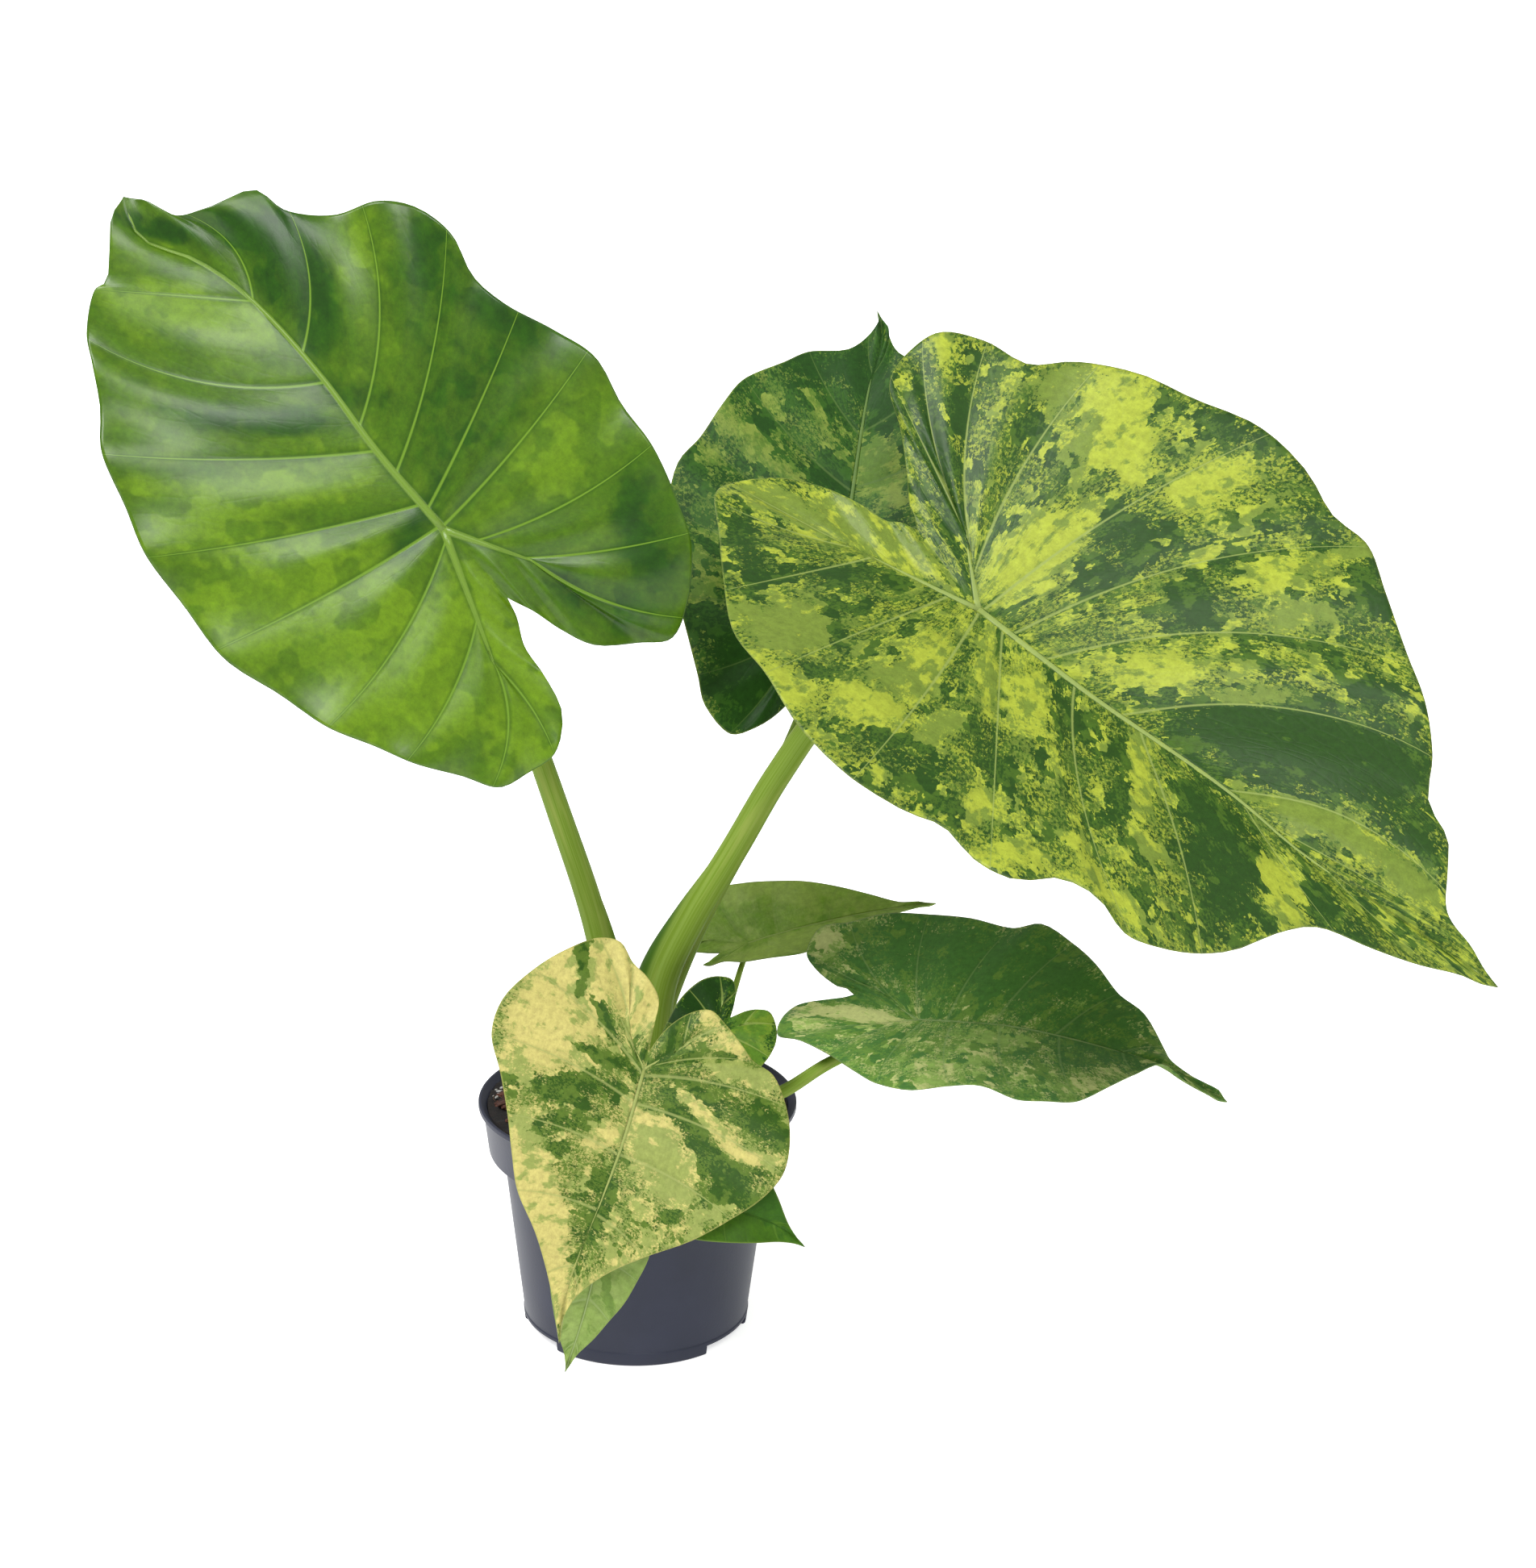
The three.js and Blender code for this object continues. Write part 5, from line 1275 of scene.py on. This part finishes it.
def marbling_group():
    """Where the blade lacks green: lobed areas, specks of both in places, and a film of green on some."""
    tree, given, out = new_group(
        "marbling", numbered(MARBLING_NUMBERS), measured("Light", "Film", "Deep", "Mottle")
    )
    u, v, along, across = (
        calc(tree, "MULTIPLY", value, given["Fineness"])
        for value in (*read(tree, "leaf_place")[:2], *read(tree, "leaf_vein")[:2])
    )
    tone, film_tone, calm = read(tree, "leaf_patches")
    seed, streak = given["Seed"], given["Streak"]
    restless = mask(tree, calm, *CALM)

    def streaks(along_scale, across_scale, shift, roughness=0.6):
        """Noise drawn out along the side veins, centred on zero."""
        place = vector(
            tree, calc(tree, "MULTIPLY", along, along_scale), calc(tree, "MULTIPLY", across, across_scale),
            calc(tree, "ADD", seed, shift),
        )
        return calc(tree, "SUBTRACT", grain(tree, place, scale=1.0, roughness=roughness), 0.5)

    def specks(scale, shift, detail, roughness):
        """Noise that is alike in all directions, centred on zero."""
        place = vector(tree, u, v, calc(tree, "ADD", seed, shift))
        return calc(tree, "SUBTRACT", grain(tree, place, scale, detail, roughness), 0.5)

    def marbled(value, speckle, shift):
        """value with lobes at its edges and, here and there, overlaid by specks of a millimetre or two."""
        lobes = specks(13.0, shift, detail=1.5, roughness=0.5)
        value = calc(tree, "MULTIPLY_ADD", lobes, calc(tree, "MULTIPLY", streak, LOBES), value)
        busy = mask(tree, specks(5.0, shift + 2.0, detail=2.0, roughness=0.6), *BUSY)
        zone = calc(tree, "MULTIPLY", busy, restless)
        dots = specks(52.0, shift + 4.0, detail=4.0, roughness=0.7)
        fine = calc(tree, "ADD", dots, streaks(36.0, 78.0, shift + 6.0, roughness=0.7))
        share = calc(tree, "MULTIPLY_ADD", zone, speckle, QUIET_SPECKS)
        share = calc(tree, "MULTIPLY", share, given["Speckle"])
        held = calc(tree, "MULTIPLY", value, calc(tree, "MULTIPLY_ADD", zone, BUSY_LOSS, 1.0))
        blur = calc(tree, "MULTIPLY_ADD", zone, BUSY_BLUR, given["Softness"])
        return calc(tree, "MULTIPLY_ADD", fine, share, held), blur, zone

    def parted(value, threshold, blur):
        low = calc(tree, "SUBTRACT", threshold, blur)
        return mask(tree, value, low, calc(tree, "ADD", threshold, blur))

    value = calc(tree, "MULTIPLY", streaks(5.5, 10.5, shift=0.0), streak)
    value = calc(tree, "ADD", calc(tree, "MULTIPLY_ADD", tone, given["Patch strength"], value), given["Bias"])
    value, blur, zone = marbled(value, speckle=1.3, shift=11.0)
    strength = calc(tree, "MULTIPLY_ADD", zone, BUSY_LIGHT, 1.0)
    feed(tree, out["Light"], calc(tree, "MULTIPLY", parted(value, 0.0, blur), strength))
    value = calc(tree, "MULTIPLY", streaks(6.5, 11.5, shift=5.0), streak)
    value = calc(tree, "ADD", calc(tree, "MULTIPLY_ADD", film_tone, FILM_PATCH, value), given["Film bias"])
    film, blur, _ = marbled(value, speckle=0.7, shift=23.0)
    steps = calc(tree, "ADD", *(parted(film, threshold, blur) for threshold in FILM_STEPS))
    feed(tree, out["Film"], calc(tree, "MULTIPLY", steps, 0.5))
    value = calc(tree, "MULTIPLY_ADD", tone, DEEP_PATCH, streaks(5.0, 9.0, shift=8.0))
    value, blur, _ = marbled(calc(tree, "ADD", value, given["Deep bias"]), speckle=0.9, shift=37.0)
    feed(tree, out["Deep"], parted(value, 0.0, calc(tree, "ADD", blur, DEEP_BLUR)))
    feed(tree, out["Mottle"], specks(26.0, 51.0, detail=6.0, roughness=0.78))
    return tree


def leaf_lines_group():
    """Masks for a blade's ribs and side veins, the painted shade beside them, margin and underside, and fine
    relief between the veins.
    """
    tree, given, out = new_group(
        "leaf lines", numbered(LINE_NUMBERS), measured("Rib", "Vein", "Halo", "Edge", "Under", "Relief")
    )
    u, v, under = read(tree, "leaf_place")
    along, across, vein_gap = read(tree, "leaf_vein")
    rib_share, edge_gap, out_share = read(tree, "leaf_marks")
    reach = given["Rib reach"]
    feed(tree, out["Rib"], mask(tree, rib_share, reach, calc(tree, "MULTIPLY", reach, RIB_CORE)))
    taper = calc(tree, "MULTIPLY", given["Vein width"], calc(tree, "SUBTRACT", VEIN_TAPER, out_share))
    feed(tree, out["Vein"], mask(tree, vein_gap, taper, calc(tree, "MULTIPLY", taper, VEIN_CORE)))
    # painted shade: darker green beside the side veins and the ribs, for the shade in the grooves along them
    halo = mask(tree, vein_gap, calc(tree, "MULTIPLY", taper, PAINTED_SHADE_WIDTH), taper)
    feed(tree, out["Halo"], calc(tree, "MAXIMUM", halo, mask(tree, rib_share, *RIB_PAINTED_SHADE)))
    feed(tree, out["Edge"], mask(tree, edge_gap, *MARGIN_LINE))
    feed(tree, out["Under"], under)
    cells = tree.nodes.new("ShaderNodeTexVoronoi")
    cells.feature = "DISTANCE_TO_EDGE"
    place = [calc(tree, "MULTIPLY", way, count) for way, count in zip((along, across), CELLS)]
    feed(tree, cells.inputs["Vector"], vector(tree, *place, 0.0))
    cells.inputs["Scale"].default_value = 1.0
    net = mask(tree, cells.outputs["Distance"], 0.0, NET_WIDTH)
    fine = grain(tree, vector(tree, u, v, 0.0), scale=60.0, detail=3.0)
    feed(tree, out["Relief"], calc(tree, "MULTIPLY_ADD", fine, 0.5, net))
    return tree


def leaf_colour_group(marbling, lines):
    """The blade's colours laid over one another: greens, light tissue, painted shade beside veins and ribs,
    veins, ribs, margin, underside.
    """
    colours = ("Dark", "Mid", "Film", "Light", "Vein", "Halo", "Rib", "Edge", "Under")
    tree, given, out = new_group(
        "variegated leaf",
        [(f"{label} colour", "Color", (0.2, 0.4, 0.1, 1)) for label in colours]
        + numbered(MARBLING_NUMBERS, LINE_NUMBERS, LAYER_NUMBERS),
        [("Color", "Color"), *measured("Roughness", "Relief")],
    )
    spots = use(tree, marbling, **{label: given[label] for label in MARBLING_NUMBERS})
    line = use(tree, lines, **{label: given[label] for label in LINE_NUMBERS})
    green = mixed(tree, spots["Deep"], given["Mid colour"], given["Dark colour"])
    light = mixed(tree, spots["Film"], given["Light colour"], given["Film colour"])
    tint = tree.nodes.new("ShaderNodeHueSaturation")
    feed(tree, tint.inputs["Value"], calc(tree, "MULTIPLY_ADD", spots["Mottle"], MOTTLE, 1.0))
    feed(tree, tint.inputs["Color"], mixed(tree, spots["Light"], green, light))
    skin = tint.outputs[0]
    layers = (
        ("Halo", given["Halo show"]), ("Vein", given["Vein show"]), ("Edge", given["Edge show"]),
        ("Under", UNDER_SHOW), ("Rib", RIB_SHOW),
    )
    for label, strength in layers:
        share = calc(tree, "MULTIPLY", line[label], strength)
        skin = mixed(tree, share, skin, given[f"{label} colour"])
    feed(tree, out["Color"], skin)
    rough = calc(tree, "MULTIPLY_ADD", line["Under"], UNDER_ROUGHNESS, given["Gloss"])
    feed(tree, out["Roughness"], rough)
    feed(tree, out["Relief"], line["Relief"])
    return tree


# the green laid beside the veins and ribs is painted shade, for the shade in their grooves
LEAF_COLOURS = dict(dark="305a14", mid="537a20", film="8ea83e", light="cada46", vein="b4c868", halo="3e6a1c",
                    rib="b8ce70", edge="98ac50", under="9fb86e")

# Finishes of the leaves. Softness blurs the edges between areas, streak is how strongly the colour varies
# along the veins, gloss is the roughness of the upper face.
LEAF_FINISHES = {
    "left": dict(
        colours=dict(dark="225200", mid="387000", film="7aa418", light="84b014", vein="8cba34", halo="285a00",
                     rib="90b840", edge="54802a"),
        bias=-0.01, seed=3.0, softness=0.22, speckle=0.1, streak=0.28, patch_strength=0.38,
        rib_reach=1.4, vein_show=0.85, halo_show=0.4, gloss=0.3,
    ),
    "right": dict(
        seed=12.0, film_bias=0.01, deep_bias=-0.01, fineness=1.1, patch_strength=0.24, vein_show=0.75,
        gloss=0.42,
    ),
    "back": dict(
        colours=dict(dark="2a5816", mid="3f701e", film="6f9434", light="96ae48", vein="6c8c44", rib="7c9c50"),
        seed=22.0, bias=-0.09, fineness=1.2,
    ),
    "small_right": dict(
        colours=dict(dark="5c963f", mid="80ae46", film="aed468", light="ecf49c", edge="98b070", vein="a4c878",
                     rib="a8c87c"),
        seed=31.0, bias=-0.08, fineness=1.4, speckle=0.75, vein_show=0.45, halo_show=0.12,
    ),
    "front": dict(
        colours=dict(dark="3e6619", mid="6c8c30", film="b4c266", light="f6e98c", vein="c4cf78", rib="c0cc74",
                     edge="c8c868"),
        seed=41.0, bias=0.03, deep_bias=-0.1, film_bias=0.05, fineness=1.7, softness=0.03, speckle=1.15,
        patch_strength=0.27,
    ),
    "small_back": dict(
        colours=dict(dark="7caa2e", mid="94be38", film="aecc58", light="b8d468", edge="9cb468"),
        seed=52.0, bias=-0.02, softness=0.12, speckle=0.3, vein_show=0.15, halo_show=0.1,
    ),
    "inner": dict(
        colours=dict(light="8cae34", film="6c9a2e", dark="244e10", mid="366618"),
        seed=61.0, fineness=1.6,
    ),
    "low_right": dict(
        colours=dict(dark="427814", mid="4c8416", film="568a18", light="5c9018", vein="74a430", rib="7cb038"),
        seed=72.0, softness=0.04, speckle=0.3,
    ),
    "low_left": dict(
        colours=dict(dark="86aa48", mid="98b854", film="aac866", light="b0cc6c", vein="b8d080", rib="bcd488"),
        seed=83.0, bias=0.12, softness=0.03, speckle=0.3,
    ),
}
LEAF_SHINE = {"left": 0.3, "right": 0.2}  # specular level of the upper face
USUAL_SHINE = 0.15
LEAF_GRAIN = {"left": 0.00001}  # height of the fine relief, in metres
USUAL_GRAIN = 0.00004


def leaf_finish(name, group):
    given = LEAF_FINISHES[name]
    material, tree, shader = new_material(f"{name} blade")
    codes = {**LEAF_COLOURS, **given.get("colours", {})}
    colours = {f"{key}_colour": colour(code) for key, code in codes.items()}
    numbers = {key: value for key, value in given.items() if key != "colours"}
    made = use(tree, group, **colours, **numbers)
    feed(tree, shader.inputs["Base Color"], made["Color"])
    feed(tree, shader.inputs["Roughness"], made["Roughness"])
    shader.inputs["Specular IOR Level"].default_value = LEAF_SHINE.get(name, USUAL_SHINE)
    bump(tree, shader, made["Relief"], LEAF_GRAIN.get(name, USUAL_GRAIN))
    return material


STALK_LINES = (0.6, 9.0)  # density of a stalk's fine lines along it and round it
BLOTCHES = 1.2  # density of its blotches along it


def stalk_finish():
    material, tree, shader = new_material("green stalk")
    length, turn, painted_wing_shade = read(tree, "stalk_marks")
    sine, cosine = calc(tree, "SINE", turn), calc(tree, "COSINE", turn)
    along, around = STALK_LINES
    scaled = ((length, along), (sine, around), (cosine, around))
    place = [calc(tree, "MULTIPLY", way, density) for way, density in scaled]
    lines = grain(tree, vector(tree, *place), scale=1.0)
    blotch_place = vector(tree, calc(tree, "MULTIPLY", length, BLOTCHES), sine, cosine)
    blotch = grain(tree, blotch_place, scale=1.3, detail=3.0)
    skin = mixed(tree, mask(tree, lines, low=0.35, high=0.65), colour("8eb034"), colour("a4c452"))
    skin = mixed(tree, mask(tree, blotch, low=0.5, high=0.7), skin, colour("b2c85c"))
    # painted shade: the sheath's side of the stalk is painted darker green, for the sheath in shadow
    skin = mixed(tree, mask(tree, painted_wing_shade, low=0.02, high=0.5), skin, colour("568424"))
    skin = mixed(tree, mask(tree, length, low=0.2, high=0.0), skin, colour("688640"))
    feed(tree, shader.inputs["Base Color"], skin)
    shader.inputs["Roughness"].default_value = 0.6
    shader.inputs["Specular IOR Level"].default_value = 0.1
    bump(tree, shader, lines, distance=0.00005)
    return material


def object_place(tree):
    return node(tree, "TexCoord").node.outputs["Object"]


def pot_finish():
    material, tree, shader = new_material("slate plastic")
    place = object_place(tree)
    cloud = grain(tree, place, scale=30.0)
    skin = mixed(tree, mask(tree, cloud, low=0.35, high=0.7), colour("3e4254"), colour("44485c"))
    feed(tree, shader.inputs["Base Color"], skin)
    feed(tree, shader.inputs["Roughness"], calc(tree, "MULTIPLY_ADD", cloud, 0.15, 0.36))
    shader.inputs["Specular IOR Level"].default_value = 0.2
    bump(tree, shader, grain(tree, place, scale=900.0, detail=2.0), distance=0.00004)
    return material


def soil_finish():
    material, tree, shader = new_material("dark peat")
    clump = grain(tree, object_place(tree), scale=260.0, detail=6.0, roughness=0.65)
    skin = mixed(tree, mask(tree, clump, low=0.35, high=0.68), colour("0d0906"), colour("241811"))
    feed(tree, shader.inputs["Base Color"], skin)
    shader.inputs["Roughness"].default_value = 0.92
    bump(tree, shader, clump, distance=0.0012)
    return material


def shaded_finish(name, dark, pale, roughness):
    """Chips, fibres and grit: each lump has its own shade between two colours."""
    material, tree, shader = new_material(name)
    shade = read(tree, "shade")[0]
    rough = grain(tree, object_place(tree), scale=500.0)
    level = calc(tree, "MULTIPLY_ADD", rough, 0.5, calc(tree, "MULTIPLY", shade, 0.7))
    feed(tree, shader.inputs["Base Color"], mixed(tree, level, colour(dark), colour(pale)))
    shader.inputs["Roughness"].default_value = roughness
    bump(tree, shader, rough, distance=0.0004)
    return material


def crown_finish():
    material, tree, shader = new_material("crown bark")
    rough = grain(tree, object_place(tree), scale=140.0, detail=6.0)
    skin = mixed(tree, mask(tree, rough, low=0.35, high=0.65), colour("3c3020"), colour("7c6a44"))
    feed(tree, shader.inputs["Base Color"], skin)
    shader.inputs["Roughness"].default_value = 0.8
    bump(tree, shader, rough, distance=0.0008)
    return material


# ---------- putting it together ----------


def put(name, mesh, material, slot, *nodes):
    piece = bpy.data.objects.new(name, mesh)
    bpy.context.scene.collection.objects.link(piece)
    mesh.materials.append(material)
    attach(piece, "root")
    if nodes:
        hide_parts(*nodes)


LEAF_SLOTS = {
    "left": "leaf_green", "right": "leaf_lime", "back": "leaf_dark", "small_right": "leaf_dark",
    "front": "leaf_cream", "small_back": "leaf_green", "inner": "leaf_dark", "low_right": "leaf_green",
    "low_left": "leaf_pale",
}


def build_plant():
    leaf_group = leaf_colour_group(marbling_group(), leaf_lines_group())
    stalk_skin = stalk_finish()
    for name, leaf in LEAVES.items():
        skin = leaf_finish(name, leaf_group)
        put(f"{name}_blade", blade_mesh(name, leaf), skin, LEAF_SLOTS[name], f"blade_{name}")
        put(f"{name}_stalk", stalk_mesh(name, STALKS[name], leaf), stalk_skin, "stalk", f"stalk_{name}")
    put("stem_base", crown_mesh(), crown_finish(), "crown", "crown")


def build_pot_and_soil():
    put("nursery_pot", pot_mesh(), pot_finish(), "pot", "pot")
    put("peat", soil_mesh(), soil_finish(), "soil", "soil")
    chips = shaded_finish("bark", "2c160e", "7c4630", 0.85)
    put("bark_chips", scattered("bark chips", 5, 170, (1.2, 3.6), 0.45, 0.3), chips, "soil")
    put("peat_crumbs", scattered("peat crumbs", 8, 420, (0.5, 1.3), 0.8, 0.35), chips, "soil")
    grit = shaded_finish("pale grit", "b4b2ac", "f4f2ee", 0.8)
    put("pale_grit", scattered("pale grit", 11, 60, (0.5, 1.3), 0.8, 0.25), grit, "soil")
    put("grit_by_rim", scattered("grit by rim", 21, 20, (0.5, 1.2), 0.8, 0.1, near=(-60, 4)), grit, "soil")
    put("bark_by_rim", scattered("bark by rim", 23, 18, (1.3, 2.8), 0.6, 0.1, near=(-59, -2)), chips, "soil")
    fibres = shaded_finish("coir", "4a3220", "93714a", 0.8)
    put("coir_fibres", fibre_mesh("coir fibres", 14, 70), fibres, "soil")


# ---------- light, floor and camera ----------

CAMERA_AT = (0.05432, -1.18386, 0.61147)
CAMERA_PITCH = 0.2955  # looking down, in radians
CAMERA_ROLL = 0.0217
CAMERA_LENS = 66.67
CAMERA_SENSOR = 36
CAMERA_REACH = 100
FLOOR_REACH = 40
FLOOR_GREY = 0.85
FLOOR_GLOW = 0.62  # the floor is a light table, which takes most of the shadows away
SKY = 0.5
LAMPS = {  # strength, softness, azimuth, elevation
    "window": (3.2, 32, -58, 60), "low window": (1.2, 18, 8, 46), "fill": (0.5, 60, 80, 40),
}


def build_floor():
    mesh = bpy.data.meshes.new("floor")
    corners = [(x * FLOOR_REACH, y * FLOOR_REACH, 0) for x, y in ((-1, -1), (1, -1), (1, 1), (-1, 1))]
    mesh.from_pydata(corners, [], [(0, 1, 2, 3)])
    floor = bpy.data.objects.new("floor", mesh)
    bpy.context.scene.collection.objects.link(floor)
    material, _, shader = new_material("studio floor")
    shader.inputs["Base Color"].default_value = (FLOOR_GREY, FLOOR_GREY, FLOOR_GREY, 1)
    shader.inputs["Roughness"].default_value = 1
    shader.inputs["Specular IOR Level"].default_value = 0
    shader.inputs["Emission Color"].default_value = (1, 1, 1, 1)
    shader.inputs["Emission Strength"].default_value = FLOOR_GLOW
    mesh.materials.append(material)


def build_light():
    world = bpy.data.worlds.new("studio")
    world.use_nodes = True
    sky = world.node_tree.nodes["Background"]
    sky.inputs["Color"].default_value = (1, 1, 1, 1)
    sky.inputs["Strength"].default_value = SKY
    bpy.context.scene.world = world
    for name, (strength, softness, azimuth, elevation) in LAMPS.items():
        lamp = bpy.data.lights.new(name, "SUN")
        lamp.energy = strength
        lamp.angle = math.radians(softness)
        holder = bpy.data.objects.new(name, lamp)
        holder.rotation_euler = (math.radians(90 - elevation), 0, math.radians(azimuth))
        bpy.context.scene.collection.objects.link(holder)


def build_camera():
    camera = bpy.data.objects.new("camera", bpy.data.cameras.new("camera"))
    bpy.context.scene.collection.objects.link(camera)
    camera.matrix_world = (
        Matrix.Translation(CAMERA_AT)
        @ Matrix.Rotation(math.pi / 2 - CAMERA_PITCH, 4, "X")
        @ Matrix.Rotation(CAMERA_ROLL, 4, "Z")
    )
    camera.data.sensor_fit = "VERTICAL"
    camera.data.sensor_height = CAMERA_SENSOR
    camera.data.lens = CAMERA_LENS
    camera.data.clip_end = CAMERA_REACH
    bpy.context.scene.camera = camera


build_plant()
build_pot_and_soil()
build_floor()
build_light()
build_camera()
bpy.context.scene.view_settings.view_transform = "Standard"
